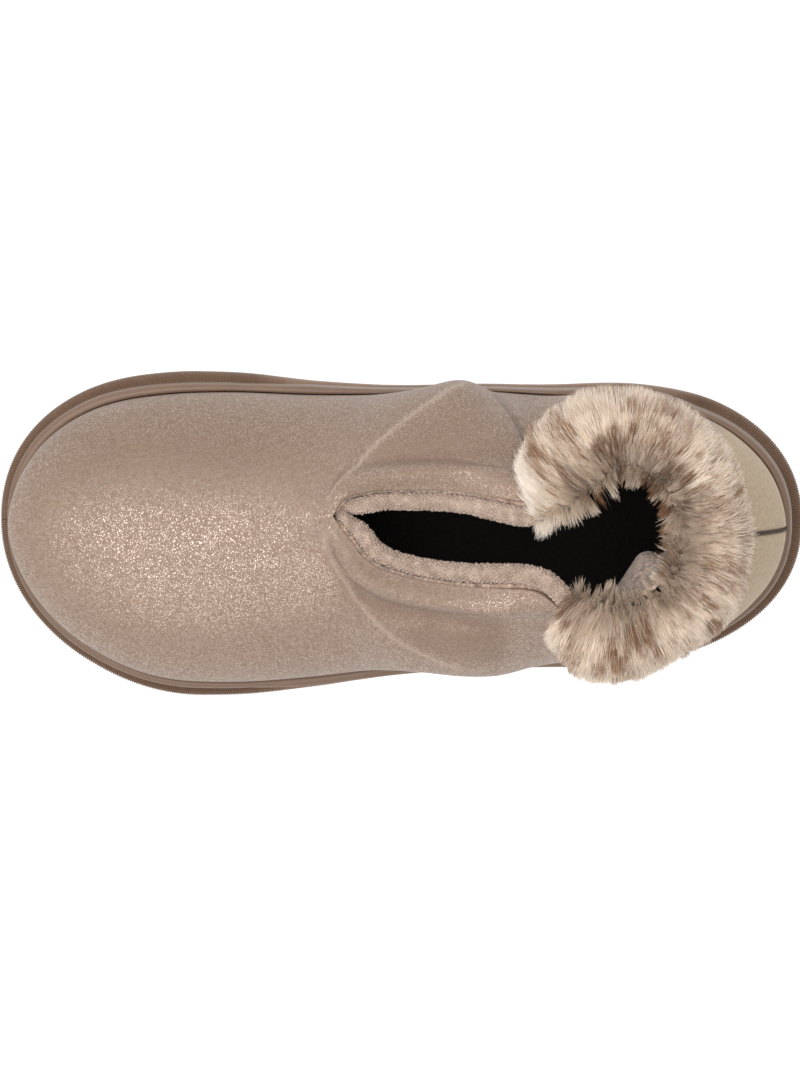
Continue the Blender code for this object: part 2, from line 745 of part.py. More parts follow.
def fur_mesh():
    """The cuff: a roll round the collar's edge whose outside stands up in locks."""
    random.seed(LOCK_SEED)
    path = fur_path()
    work = bmesh.new()
    loops = []
    for k, (side, at) in enumerate(path):
        section = fur_section(at, side, k / (len(path) - 1))
        if 0 < k < len(path) - 1:
            pull_locks(section, at, side, k)
        loops.append([work.verts.new(point) for point in section])
    count = len(loops[0])
    for low, high in zip(loops, loops[1:]):
        for k in range(count):
            turn = (k + 1) % count
            work.faces.new((low[k], low[turn], high[turn], high[k]))
    far_count = len(FUR_OUTSIDE) + len(FUR_OVER) + len(FUR_INSIDE)
    for loop in (loops[0], loops[-1]):
        far, near = loop[:far_count], loop[:far_count - 1:-1]
        i = j = 0
        while i < len(far) - 1 or j < len(near) - 1:
            if j == len(near) - 1 or (i + 1) / len(far) <= (j + 1) / len(near):
                work.faces.new((far[i], far[i + 1], near[j]))
                i += 1
            else:
                work.faces.new((far[i], near[j + 1], near[j]))
                j += 1
    return finish_mesh(work, "fur_cuff")


def tread_cutter(collection):
    """Chevron grooves under the ball and the heel, as one hidden object."""
    work = bmesh.new()
    for start, end in ((0.16, 0.46), (0.70, 0.93)):
        x = start * SOLE_LENGTH - HALF_LENGTH
        while x < end * SOLE_LENGTH - HALF_LENGTH:
            middle, half_width = outline_at(share_at(x))
            reach = half_width - TREAD_MARGIN
            top = ground_height(x) + GROOVE_DEPTH
            outline = [
                (x + GROOVE_RISE, middle - reach),
                (x, middle),
                (x + GROOVE_RISE, middle + reach),
                (x + GROOVE_RISE + GROOVE_WIDTH, middle + reach),
                (x + GROOVE_WIDTH, middle),
                (x + GROOVE_RISE + GROOVE_WIDTH, middle - reach),
            ]
            low = [work.verts.new((a, b, -TOE_SPRING)) for a, b in outline]
            high = [work.verts.new((a, b, top)) for a, b in outline]
            for k in range(6):
                turn = (k + 1) % 6
                work.faces.new((low[k], low[turn], high[turn], high[k]))
            for loop in (low, high):
                work.faces.new((loop[0], loop[1], loop[4], loop[5]))
                work.faces.new((loop[1], loop[2], loop[3], loop[4]))
            x += GROOVE_PITCH
    shape = new_object("tread_grooves", finish_mesh(work, "tread_grooves"), None, collection)
    shape.hide_render = True
    shape.display_type = "WIRE"
    return shape


def cut(shape, cutter):
    modifier = shape.modifiers.new(cutter.name, "BOOLEAN")
    modifier.operation = "DIFFERENCE"
    modifier.object = cutter
    modifier.solver = "EXACT"


def make_material(name, colour, roughness, metallic=0.0):
    material = bpy.data.materials.new(name)
    material.use_nodes = True
    shader = material.node_tree.nodes["Principled BSDF"]
    shader.inputs["Base Color"].default_value = (*colour, 1)
    shader.inputs["Roughness"].default_value = roughness
    shader.inputs["Metallic"].default_value = metallic
    return material


def centre_on_floor(shapes, cutters):
    """Hangs every piece on an empty that puts the origin under the middle of their box."""
    bpy.context.view_layer.update()
    graph = bpy.context.evaluated_depsgraph_get()
    places = []
    for shape in shapes:
        real = shape.evaluated_get(graph)
        places += [vert.co.copy() for vert in real.to_mesh().vertices]
        real.to_mesh_clear()
    middle = [(min(p[axis] for p in places) + max(p[axis] for p in places)) / 2 for axis in (0, 1)]
    floor = min(place.z for place in places)
    root = bpy.data.objects.new("slipper", None)
    shapes[0].users_collection[0].objects.link(root)
    root.location = (-middle[0], -middle[1], -floor)
    for shape in shapes + cutters:
        shape.parent = root


def build():
    for shape in list(bpy.data.objects):
        bpy.data.objects.remove(shape)
    scene = bpy.context.scene.collection
    parts = bpy.data.collections.new("bootie_slipper")
    cutters = bpy.data.collections.new("cutters")
    scene.children.link(parts)
    scene.children.link(cutters)

    rubber = make_material("sole rubber", (0.24, 0.17, 0.125), 0.6)
    foam = make_material("midsole foam", (0.27, 0.19, 0.14), 0.55)
    fleece = make_material("insole fleece", (0.12, 0.085, 0.065), 0.95)
    microsuede = make_material("shimmer microsuede", (0.42, 0.31, 0.24), 0.5, 0.25)
    pile = make_material("binding pile", (0.52, 0.40, 0.32), 0.95)
    fur = make_material("fur", (0.60, 0.47, 0.36), 0.9)

    grooves = tread_cutter(cutters)
    outsole = new_object("outsole", outsole_mesh(), rubber, parts)
    cut(outsole, grooves)
    midsole = new_object("midsole", midsole_mesh(), foam, parts)
    insole = new_object("insole", insole_mesh(), fleece, parts)
    upper = make_upper(microsuede, parts)
    binding = make_binding(pile, parts)
    cuff = new_object("fur_cuff", fur_mesh(), fur, parts)
    centre_on_floor([outsole, midsole, insole, upper, binding, cuff], [grooves])


build()
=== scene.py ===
# Looks of the bootie slipper: shimmering suede upper, curly pile binding, long fur cuff,
# fleece inside, and a moulded sole with a finely ribbed bumper.

import math
import random

import bmesh
import bpy
import numpy as np
from mathutils import Matrix, Vector, noise


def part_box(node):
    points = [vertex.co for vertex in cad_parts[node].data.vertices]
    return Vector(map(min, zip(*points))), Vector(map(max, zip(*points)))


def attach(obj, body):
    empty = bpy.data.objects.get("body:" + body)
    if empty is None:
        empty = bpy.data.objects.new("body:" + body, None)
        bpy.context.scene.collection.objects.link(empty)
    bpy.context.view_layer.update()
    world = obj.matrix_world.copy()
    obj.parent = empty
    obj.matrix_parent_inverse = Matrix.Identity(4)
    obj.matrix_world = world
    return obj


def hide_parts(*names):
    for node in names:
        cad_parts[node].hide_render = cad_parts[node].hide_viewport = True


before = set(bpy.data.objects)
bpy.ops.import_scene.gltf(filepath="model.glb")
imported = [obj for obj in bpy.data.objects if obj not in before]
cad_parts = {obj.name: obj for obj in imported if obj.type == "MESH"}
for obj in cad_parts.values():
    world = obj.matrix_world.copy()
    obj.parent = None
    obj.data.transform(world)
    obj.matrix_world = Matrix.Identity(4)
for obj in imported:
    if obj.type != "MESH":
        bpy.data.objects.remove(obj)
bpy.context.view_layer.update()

# Sizes shared with the solids
SOLE_LENGTH = 0.270
BALL_WIDTH = 0.109
SHANK_WIDTH = 0.098
HEEL_WIDTH = 0.0972
TOE_CAP_LENGTH = 0.0675
HEEL_CAP_LENGTH = 0.0745
TOE_SPRING = 0.008
ARCH_LIFT = 0.0015
HEEL_BEVEL = 0.0025
OUTSOLE_HEIGHT = 0.0115
SOLE_HEIGHT_BALL = 0.0225
SOLE_HEIGHT_HEEL = 0.0300
BUMPER_STEP = 0.0016
LIP_DEPTH = 0.0045
RIM_TOE = 0.0072
RIM_BALL = 0.0060
RIM_SHANK_INNER = 0.0032
RIM_SHANK_OUTER = 0.0055
RIM_HEEL = 0.0062
WALL = 0.0025
THROAT_FROM_TOE = 0.1190
COLLAR_BACK_FROM_HEEL = 0.0300
INSTEP_HEIGHT = 0.080
COLLAR_HEIGHT = 0.119
COLLAR_WIDTH = 0.0604
SLIT_ROUNDNESS = 0.40
BINDING_RADIUS = 0.0031
BINDING_TURN = 0.0042
FUR_DROP = 0.0270
FUR_INSIDE_DROP = 0.0080
FUR_PILE = 0.0106
FUR_CROWN = 0.0110
GAP = 0.0003
LIP_WIDTH = 0.0120
LIP_HEIGHT = 0.0026
HALF_LENGTH = SOLE_LENGTH / 2
TOE_ROUNDNESS = 2.1
HEEL_ROUNDNESS = 2.2

# Sizes of what only the looks have
RIB_PITCH = 0.00078
RIB_DEPTH = 0.00062
RIBBED_LEDGE = 0.0013
HAIRS_PER_PIECE = 28000
HAIR_PIECES = 3
HAIR_WIDTH = 0.00036
CLUMPS = 2200
NUB_PITCH = 0.00092
NUB_RADIUS = 0.00060
SEAM_RADIUS = 0.00045
SAG = 0.0240
SAG_PLACE = (0.094, -0.019, 0.093)
SAG_REACH = (0.026, 0.034, 0.024)
SUEDE_THICKNESS = 0.0016
LINING_INSET = 0.0019
LINING_THICKNESS = 0.0007
STITCH_WIDTH = 0.0007
STITCH_DEPTH = 0.0006
UNDERCOAT_THICKNESS = 0.0012
BUMPER_THICKNESS = 0.0006
RIB_NUDGE = 0.08
DEPTH_NUDGE = 0.0008
CUFF_LENGTH = 0.235
CUFF_BREADTH = 0.075
CUFF_BLEND = 9
CORE_FULLNESS = 0.42
SHELL_FULLNESS = 1.27
INSIDE_REACH = 1.25
BINDING_POINTS = 360
BINDING_TIP = 0.72

# The studio camera looks down at this lean along x and y; the creases are laid out for its view
CAMERA_DISTANCE = 1.5
CAMERA_LEAN = 0.07
CAMERA_TARGET_HEIGHT = 0.010

# What the upper's grids know about each point, in this order
STITCH, DEPTH, FOLD, PLACE, SEAM, EDGE = range(6)

OUTLINE = (
    # share of length, half-width, middle line
    (0.00, 0.5 * BALL_WIDTH, 0.048 * BALL_WIDTH),
    (0.10, 0.5 * BALL_WIDTH, 0.027 * BALL_WIDTH),
    (0.20, 0.5 * BALL_WIDTH, 0.004 * BALL_WIDTH),
    (0.30, 0.5 * BALL_WIDTH, 0.000 * BALL_WIDTH),
    (0.40, 0.48 * BALL_WIDTH, 0.002 * BALL_WIDTH),
    (0.50, 0.51 * SHANK_WIDTH, 0.016 * BALL_WIDTH),
    (0.60, 0.50 * SHANK_WIDTH, 0.030 * BALL_WIDTH),
    (0.70, 0.4975 * HEEL_WIDTH, 0.032 * BALL_WIDTH),
    (0.80, 0.50 * HEEL_WIDTH, 0.038 * BALL_WIDTH),
    (0.90, 0.50 * HEEL_WIDTH, 0.045 * BALL_WIDTH),
    (1.00, 0.50 * HEEL_WIDTH, 0.047 * BALL_WIDTH),
)
RIM = (
    (0.00, RIM_TOE, RIM_TOE),
    (0.28, RIM_BALL, RIM_BALL),
    (0.58, RIM_SHANK_INNER, RIM_SHANK_OUTER),
    (0.80, 0.80 * RIM_HEEL, 0.90 * RIM_HEEL),
    (1.00, RIM_HEEL, RIM_HEEL),
)
# Ribs of the upper: foot, top, rise, gap, ridge, shoulder, inner swell, outer swell, out, drop, back
VAMP_RIBS = (
    (0.000, -0.004, 0.14, 0, 0.048, 0.33, 0.00, 0.00, 0.33, 0.33, 0.00),
    (0.012, -0.008, 0.29, 0, 0.048, 0.50, 0.03, 0.03, 0.55, 0.00, 0.00),
    (0.050, 0.022, 0.46, 0, 0.047, 0.55, 0.04, 0.04, 0.60, 0.00, 0.00),
    (0.130, 0.110, 0.60, 0, 0.045, 0.60, 0.04, 0.04, 0.60, 0.00, 0.00),
    (0.265, 0.265, 0.70, 0, 0.043, 0.60, 0.04, 0.04, 0.60, 0.00, 0.00),
    (0.500, 0.500, 0.79, 0, 0.052, 0.60, 0.03, 0.03, 0.60, 0.00, 0.00),
    (0.770, 0.770, 0.89, 0, 0.075, 0.60, 0.03, 0.03, 0.57, 0.00, 0.00),
)
SHAFT_RIBS = (
    (0.02, 0.000, 0.00, 0.00, 0.100, 0.60, 0.04, 0.04, 0.50, 0.04, 0.00),
    (0.11, 0.075, 0.13, 0.34, 0.074, 0.62, 0.08, 0.06, 0.60, 0.06, 0.00),
    (0.21, 0.180, 0.31, 0.46, 0.058, 0.64, 0.14, 0.09, 0.74, 0.12, 0.00),
    (0.325, 0.325, 0.53, 0.51, 0.049, 0.64, 0.20, 0.13, 0.82, 0.18, 0.00),
    (0.42, 0.440, 0.69, 0.50, 0.040, 0.57, 0.07, 0.16, 0.58, 0.22, 0.00),
    (0.52, 0.545, 0.81, 0.52, 0.034, 0.45, 0.03, 0.09, 0.40, 0.30, 0.00),
    (0.60, 0.630, 0.90, 0.78, 0.045, 0.38, 0.05, 0.05, 0.25, 0.34, 0.00),
    (0.69, 0.750, 0.96, 1.00, 0.064, 0.35, 0.05, 0.05, 0.20, 0.35, 0.00),
    (0.78, 0.880, 0.99, 0.85, 0.067, 0.35, 0.05, 0.05, 0.20, 0.32, 0.04),
    (0.85, 0.965, 1.00, 0.47, 0.064, 0.40, 0.06, 0.06, 0.28, 0.30, 0.08),
)
HEEL_RIBS = (
    (-0.35, 0.00, 1.00, 0, 0.062, 0.45, 0.07, 0.07, 0.38, 0.24, 0.08),
    (-0.05, 0.21, 0.80, 0, 0.056, 0.50, 0.07, 0.07, 0.50, 0.12, 0.03),
    (0.26, 0.52, 0.59, 0, 0.052, 0.50, 0.06, 0.06, 0.57, 0.03, 0.01),
    (0.55, 0.83, 0.385, 0, 0.049, 0.50, 0.05, 0.05, 0.60, 0.00, 0.00),
    (0.80, 1.02, 0.21, 0, 0.047, 0.50, 0.04, 0.04, 0.60, 0.00, 0.00),
    (1.00, 1.04, 0.09, 0, 0.047, 0.33, 0.02, 0.02, 0.33, 0.33, 0.00),
)
THROAT_RIB = len(VAMP_RIBS)
COLLAR_FRONT_RIB = THROAT_RIB + 5
COLLAR_BACK_RIB = THROAT_RIB + len(SHAFT_RIBS)
LAST_RIB = COLLAR_BACK_RIB + len(HEEL_RIBS) - 1
LIP = ((0.0, -0.35), (0.25, 0.75), (0.55, 1.0), (1.0, 0.0))

# The cuff's section: outside out and down, over the edge out and up, inside in and down
FUR_OUTSIDE = ((0.30, 1.05), (0.76, 0.98), (1.00, 0.70), (1.04, 0.36), (0.92, 0.05))
FUR_OVER = ((0.66, 0.60), (0.16, 1.00), (-0.45, 0.86))
FUR_INSIDE = ((0.84, 0.10), (0.78, 0.60), (0.30, 1.10))
FUR_CLUMPS = (
    # share of the way, outside, inside, drop, crown
    (0.00, 0.62, 0.70, 0.85, 0.60),
    (0.07, 1.00, 1.10, 0.98, 0.95),
    (0.16, 1.10, 1.05, 1.05, 1.05),
    (0.27, 1.04, 0.85, 1.00, 1.00),
    (0.38, 0.92, 0.90, 0.92, 0.95),
    (0.48, 0.82, 1.08, 0.82, 1.05),
    (0.58, 0.88, 1.05, 0.88, 1.00),
    (0.68, 0.80, 0.85, 0.98, 0.80),
    (0.75, 0.84, 0.80, 1.00, 0.62),
    (0.83, 1.00, 1.00, 1.05, 1.00),
    (0.93, 1.02, 1.10, 1.00, 1.00),
    (1.00, 0.66, 0.80, 0.88, 0.66),
)

# Soft creases of the upper, laid out in plan as seen from above, in millimetres from the sole's
# middle: kind, height, width, how far each end fades, and the line. A negative height is a trough.
CREASES = (
    # panel seam round the throat, inner side and outer side
    ("seam", 0.35, 1.3, 6, (
        (-25, 8), (-21, 16), (-17, 19), (-13, 26), (-6, 32.5), (3, 40), (10, 45), (17, 49.5), (23, 52),
    )),
    ("seam", 0.35, 1.3, 6, (
        (-26, 4), (-24.5, -5), (-21, -13), (-16, -22), (-8, -30), (-1, -36), (6, -40), (15, -44), (24, -46),
    )),
    # edge of the inner wing, where the panel overlaps the quarter, and the drop behind it
    ("edge", -1.5, 2.0, 3, ((28, 53), (33.5, 48.5), (37.2, 44), (41, 38), (43, 33.5), (46, 26))),
    ("fold", -2.2, 9.0, 4, ((35, 54), (40, 49), (44, 44), (47, 38), (50, 30))),
    # crest of each rolled lip
    ("lip", 1.4, 4.0, 8, ((-24, 9), (-16, 15), (-8, 18), (1, 19.5), (14, 20.5), (34, 21), (46, 20))),
    ("lip", 1.4, 4.0, 8, ((-23, -2), (-19, -9), (-12, -14), (-5, -17), (6, -20), (21, -22), (52, -26))),
    # valley at the foot of each lip
    ("fold", -1.5, 6.0, 9, ((-19, 20), (-12, 23), (-3, 26), (8, 27.5), (20, 28), (36, 28), (46, 25))),
    ("fold", -1.3, 6.0, 9, ((-22, -13), (-16, -19), (-8, -24), (4, -27), (20, -30), (40, -33))),
    # hollow of each wing
    ("fold", -1.0, 13.0, 10, ((2, 33), (14, 37), (26, 37), (34, 34))),
    ("fold", -0.8, 12.0, 10, ((0, -31), (16, -37), (40, -39))),
)


def blend_rows(rows, at):
    """Reads rows of numbers at a fractional row, on a smooth curve through them."""
    last = len(rows) - 1
    first = max(0, min(last - 1, int(math.floor(at))))
    t = at - first
    before, start, end, after = (np.asarray(rows[max(0, min(last, first + k))], float) for k in (-1, 0, 1, 2))
    leave, arrive = (end - before) / 2, (after - start) / 2
    return (
        (2 * t**3 - 3 * t**2 + 1) * start
        + (t**3 - 2 * t**2 + t) * leave
        + (3 * t**2 - 2 * t**3) * end
        + (t**3 - t**2) * arrive
    )


def lengths_along(line):
    """How far each point of a line lies from its first one, measured along it."""
    return np.concatenate(([0.0], np.cumsum(np.linalg.norm(np.diff(line, axis=0), axis=1))))


def read_line(places, lengths, line):
    """A line, or numbers that go with its points, read at places along it."""
    return np.stack([np.interp(places, lengths, line[:, k]) for k in range(3)], axis=1)


def unit(vectors):
    return vectors / np.maximum(np.linalg.norm(vectors, axis=-1, keepdims=True), 1e-12)


def by_share(table, share):
    """Reads a table whose first column is a rising share."""
    shares = [row[0] for row in table]
    share = max(shares[0], min(shares[-1], share))
    index = max(k for k, value in enumerate(shares[:-1]) if value <= share)
    t = (share - shares[index]) / (shares[index + 1] - shares[index])
    return blend_rows([row[1:] for row in table], index + t)


def sign_of(side):
    return 1.0 if side == "inner" else -1.0


def round_end(distance, length, roundness):
    if distance >= length:
        return 1.0
    return max(0.0, 1 - max(0.0, 1 - distance / length) ** roundness) ** (1 / roundness)


def outline_at(share):
    half_width, middle = by_share(OUTLINE, share)
    along = share * SOLE_LENGTH
    half_width *= round_end(along, TOE_CAP_LENGTH, TOE_ROUNDNESS)
    half_width *= round_end(SOLE_LENGTH - along, HEEL_CAP_LENGTH, HEEL_ROUNDNESS)
    return middle, half_width


def outline_point(share, side):
    middle, half_width = outline_at(share)
    return np.array((share * SOLE_LENGTH - HALF_LENGTH, middle + sign_of(side) * half_width, 0.0))


def outline_normal(share, side):
    step = 0.002
    if share < step or share > 1 - step:
        return np.array((-1.0 if share < 0.5 else 1.0, 0.0, 0.0))
    along = outline_point(share + step, side) - outline_point(share - step, side)
    normal = np.array((-along[1], along[0], 0.0)) * sign_of(side)
    return normal / np.linalg.norm(normal)


def share_at(x):
    return (x + HALF_LENGTH) / SOLE_LENGTH


def ground_height(x):
    share = share_at(x)
    if share < 0.27:
        return TOE_SPRING * ((0.27 - share) / 0.27) ** 2
    if 0.42 < share < 0.68:
        return ARCH_LIFT * (1 - math.cos(2 * math.pi * (share - 0.42) / 0.26)) / 2
    if share > 0.93:
        return HEEL_BEVEL * ((share - 0.93) / 0.07) ** 2
    return 0.0


def lip_height(x):
    share = share_at(x)
    climb = max(0.0, min(1.0, (share - 0.35) / 0.45))
    climb = climb * climb * (3 - 2 * climb)
    spring = 0.6 * TOE_SPRING * max(0.0, (0.30 - share) / 0.30) ** 2
    return SOLE_HEIGHT_BALL + (SOLE_HEIGHT_HEEL - SOLE_HEIGHT_BALL) * climb + spring


def parting_height(x):
    rise = 0.55 * (lip_height(x) - SOLE_HEIGHT_BALL)
    return max(ground_height(x) + 0.8 * OUTSOLE_HEIGHT, OUTSOLE_HEIGHT + rise * 0.4)


def bumper_inset(share):
    flat = max(0.0, min(1.0, (0.62 - abs(share - 0.56) / 0.40) / 0.62 + 0.35))
    return BUMPER_STEP * 0.85 * flat


def rim_at(share, side):
    inner, outer = by_share(RIM, share)
    return inner if side == "inner" else outer


def rib_rows():
    toe = RIM_TOE - HALF_LENGTH
    throat = THROAT_FROM_TOE - HALF_LENGTH
    collar_back = HALF_LENGTH - COLLAR_BACK_FROM_HEEL
    heel = HALF_LENGTH - RIM_HEEL
    rows = []
    for table, start, end in (
        (VAMP_RIBS, toe, throat),
        (SHAFT_RIBS, throat, collar_back),
        (HEEL_RIBS, collar_back, heel),
    ):
        for foot, top, rise, gap, ridge, *shape in table:
            x = start + top * (end - start)
            if table is VAMP_RIBS:
                z = lip_height(x) + rise * (INSTEP_HEIGHT - lip_height(throat))
            elif table is SHAFT_RIBS:
                z = INSTEP_HEIGHT + rise * (COLLAR_HEIGHT - INSTEP_HEIGHT)
            else:
                z = lip_height(heel) + rise * (COLLAR_HEIGHT - lip_height(heel))
            foot_x = start + foot * (end - start)
            rows.append([foot_x, x, z, gap * COLLAR_WIDTH / 2, ridge * BALL_WIDTH, *shape])
    return rows


RIB_ROWS = rib_rows()
STATION_SHARES = [(1 - math.cos(math.pi * k / 400)) / 2 for k in range(401)]
FOOT_LINES = {
    side: np.array(
        [outline_point(s, side) - outline_normal(s, side) * rim_at(s, side) for s in STATION_SHARES]
    )
    for side in ("inner", "outer")
}
# The sole's own frame has its origin at the middle of the outline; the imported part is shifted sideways.
OUTER_REACH = min(outline_point(s, "outer")[1] + bumper_inset(s) for s in STATION_SHARES)
STAND = Vector((0.0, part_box("outsole")[0][1] - OUTER_REACH, 0.0))


def foot_point(foot_x, side):
    """Where a rib leaves the sole, inside the lip, and the way out of the sole there."""
    line = FOOT_LINES[side]
    foot_x = max(line[0][0], min(line[-1][0], foot_x))
    share = float(np.interp(foot_x, line[:, 0], STATION_SHARES))
    return np.array((foot_x, np.interp(foot_x, line[:, 0], line[:, 1]), 0.0)), outline_normal(share, side)


def rib_curve(at, side, count=72):
    """Points of one rib from its top down to the sole's lip."""
    row = blend_rows(RIB_ROWS, at)
    foot_x, top_x, top_z, gap, ridge, shoulder, swell_inner, swell_outer, out, drop, back = row
    swell = swell_inner if side == "inner" else swell_outer
    sign = sign_of(side)
    gap = max(0.0, gap) if THROAT_RIB < at < COLLAR_BACK_RIB else 0.0
    if 0 < at - THROAT_RIB < 1:
        gap = RIB_ROWS[THROAT_RIB + 1][3] * (at - THROAT_RIB) ** SLIT_ROUNDNESS
    foot, normal = foot_point(foot_x, side)
    if at in (0, LAST_RIB):
        foot[1] = ridge
    start = np.array((foot[0], foot[1], lip_height(foot[0])))
    end = np.array((top_x, ridge + sign * gap, top_z))
    height = end[2] - start[2]
    width = abs(start[1] - end[1])
    low_handle = start + normal * swell * height + np.array((0, 0, shoulder * height))
    high_handle = end + np.array((back * height, sign * out * width, -drop * height))
    t = np.linspace(1, 0, count + 1)[:, None]
    return (
        (1 - t) ** 3 * start
        + 3 * t * (1 - t) ** 2 * low_handle
        + 3 * t**2 * (1 - t) * high_handle
        + t**3 * end
    )


def down_the_rib(curve, depths):
    """Points of a rib at depths below its top, measured along it."""
    lengths = lengths_along(curve)
    return read_line(np.minimum(depths, lengths[-1]), lengths, curve)


def depth_rows(length, count, fine=0.014, part=0.32):
    """Depths down a rib, close together near its top edge."""
    rows = np.linspace(0, 1, count)
    if length < 3 * fine:
        return rows * length
    return np.interp(rows, (0, part, 1), (0, fine, length))


def grid_normals(points, side):
    """Unit normals of a grid of points: columns are ribs from toe to heel, rows run down them."""
    return unit(np.cross(np.gradient(points, axis=0), np.gradient(points, axis=1)) * sign_of(side))


def lip_lift(at, depth):
    """How far the throat's rolled lip stands proud."""
    along = np.clip(np.minimum(at - (THROAT_RIB - 0.6), COLLAR_FRONT_RIB + 1.0 - at), 0, 1)
    share = np.clip(depth / LIP_WIDTH, 0, 1)
    fine = np.linspace(0, 1, 60)
    profile = np.array([by_share(LIP, s)[0] for s in fine])
    return LIP_HEIGHT * along * np.interp(share, fine, profile)


def seen_plan(points):
    """Plan position as seen from above along the studio camera, in millimetres."""
    lift = points[..., 2:] - CAMERA_TARGET_HEIGHT
    scale = CAMERA_DISTANCE / (CAMERA_DISTANCE - lift)
    return (points[..., :2] - CAMERA_LEAN * lift) * scale * 1000


def crease_height(points):
    """Sum of the creases at each point, in metres, with how strongly each kind shows there."""
    plan = seen_plan(points)
    total = np.zeros(points.shape[:-1])
    shows = {kind: np.zeros(total.shape) for kind in ("seam", "edge", "lip", "fold")}
    high = np.clip((points[..., 2] - 0.030) / 0.012, 0, 1)
    for kind, height, width, fade, line in CREASES:
        line = np.array(line, float)
        starts = lengths_along(line)
        nearest = np.full(total.shape, 1e9)
        place = np.zeros(total.shape)
        for k, (a, b) in enumerate(zip(line, line[1:])):
            length = starts[k + 1] - starts[k]
            t = np.clip(((plan - a) @ (b - a)) / length**2, 0, 1)
            away = np.linalg.norm(plan - (a + t[..., None] * (b - a)), axis=-1)
            closer = away < nearest
            nearest = np.where(closer, away, nearest)
            place = np.where(closer, starts[k] + t * length, place)
        ends = np.clip(np.minimum(place, starts[-1] - place) / fade + 0.15, 0, 1)
        ends = ends * ends * (3 - 2 * ends)
        share = np.exp(-((nearest / (0.6 * width)) ** 2)) * ends * high
        total += height * 0.001 * share
        shows[kind] = np.maximum(shows[kind], share)
    return total, shows


def wall_grid(side, ats, rows):
    """Points of the upper's outer face with their depths."""
    points = np.zeros((len(ats), rows, 3))
    depths = np.zeros((len(ats), rows))
    for i, at in enumerate(ats):
        curve = rib_curve(at, side)
        depths[i] = depth_rows(lengths_along(curve)[-1], rows)
        points[i] = down_the_rib(curve, depths[i])
    return points, depths


def upper_skin_points(columns, rows, inward, sag=0.0):
    """Both sides of the upper as creased grids that meet in the middle, with what each point knows."""
    ats = np.linspace(0, LAST_RIB, columns)
    grids, marks = {}, {}
    for side in ("inner", "outer"):
        points, depths = wall_grid(side, ats, rows)
        crease, shows = crease_height(points)
        back = np.clip((ats[:, None] - COLLAR_BACK_RIB) * 4, 0, 1)
        stitch = back * np.exp(-((depths / STITCH_WIDTH) ** 2))
        lift = lip_lift(ats[:, None], depths) - inward + crease - STITCH_DEPTH * stitch
        lift = lift - sag * heel_sag(points)
        moved = points + grid_normals(points, side) * lift[..., None]
        place = np.broadcast_to(ats[:, None], depths.shape)
        known = (stitch, depths, shows["fold"], place, shows["seam"], shows["edge"])
        marks[side] = np.stack(known, axis=-1)
        floor = np.array([lip_height(x) for x in moved[:, -1, 0]])
        lower = []
        for drop in (0.0, 0.0015, 0.0040):
            ring = moved[:, -1].copy()
            ring[:, 2] = floor - drop
            lower.append(ring)
        grids[side] = np.concatenate((moved[:, :-1], np.stack(lower, axis=1)), axis=1)
    closed = (ats <= THROAT_RIB) | (ats >= COLLAR_BACK_RIB)
    middle = (grids["inner"][closed, 0] + grids["outer"][closed, 0]) / 2
    for side in grids:
        grids[side][closed, 0] = middle
    ends = (grids["inner"][[0, -1]] + grids["outer"][[0, -1]]) / 2
    for side in grids:
        grids[side][[0, -1]] = ends
        marks[side] = np.concatenate((marks[side], marks[side][:, -1:], marks[side][:, -1:]), axis=1)
    return grids, marks


def heel_sag(points):
    """Where the loose fleece bags inwards behind the heel, towards the outer side."""
    away = (points - np.array(SAG_PLACE)) / np.array(SAG_REACH)
    return np.exp(-(away**2).sum(axis=-1))


def skin_piece(name, material, made, thickness, colour_of):
    """A wall from both sides' grids, with a colour attribute worked out from their marks."""
    grids, marks = made
    work = bmesh.new()
    layer = work.verts.layers.float_color.new("coat")
    for side in ("inner", "outer"):
        first = len(work.verts)
        grid_bmesh(grids[side], work)
        work.verts.ensure_lookup_table()
        colours = colour_of(grids[side], marks[side]).transpose(1, 0, 2).reshape(-1, 3)
        for vert, colour in zip(work.verts[first:], colours):
            vert[layer] = (*colour, 1.0)
    weld(work, 0.00002)
    return solidify(piece_from(work, name, material), thickness)


def grid_bmesh(points, work=None):
    """A flat grid whose vertices are moved to the given array of points."""
    work = work or bmesh.new()
    across, down = points.shape[:2]
    made = bmesh.ops.create_grid(work, x_segments=across - 1, y_segments=down - 1, size=1)["verts"]
    flat = points.transpose(1, 0, 2).reshape(-1, 3)
    for vert, place in zip(made, flat):
        vert.co = place
    return work


def weld(work, reach=0.00001, fill=False):
    """Joins points that lie together, closes the openings where asked, and turns the faces outwards."""
    bmesh.ops.remove_doubles(work, verts=work.verts, dist=reach)
    if fill:
        bmesh.ops.holes_fill(work, edges=[edge for edge in work.edges if edge.is_boundary], sides=0)
    bmesh.ops.recalc_face_normals(work, faces=work.faces)


def place_mesh(mesh, material):
    """Puts a mesh in the scene as an object of the same name with one material."""
    mesh.materials.append(material)
    shape = bpy.data.objects.new(mesh.name, mesh)
    bpy.context.scene.collection.objects.link(shape)
    return shape


def piece_from(work, name, material, angle=None):
    """Makes the bmesh an object of the scene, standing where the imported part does."""
    bmesh.ops.translate(work, verts=work.verts, vec=STAND)
    mesh = bpy.data.meshes.new(name)
    work.to_mesh(mesh)
    work.free()
    mesh.shade_smooth()
    if angle:
        mesh.set_sharp_from_angle(angle=math.radians(angle))
    shape = place_mesh(mesh, material)
    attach(shape, "root")
    return shape


def solidify(shape, thickness):
    wall = shape.modifiers.new("wall", "SOLIDIFY")
    wall.thickness = thickness
    wall.offset = -1
    wall.use_even_offset = False
    return shape


# Materials


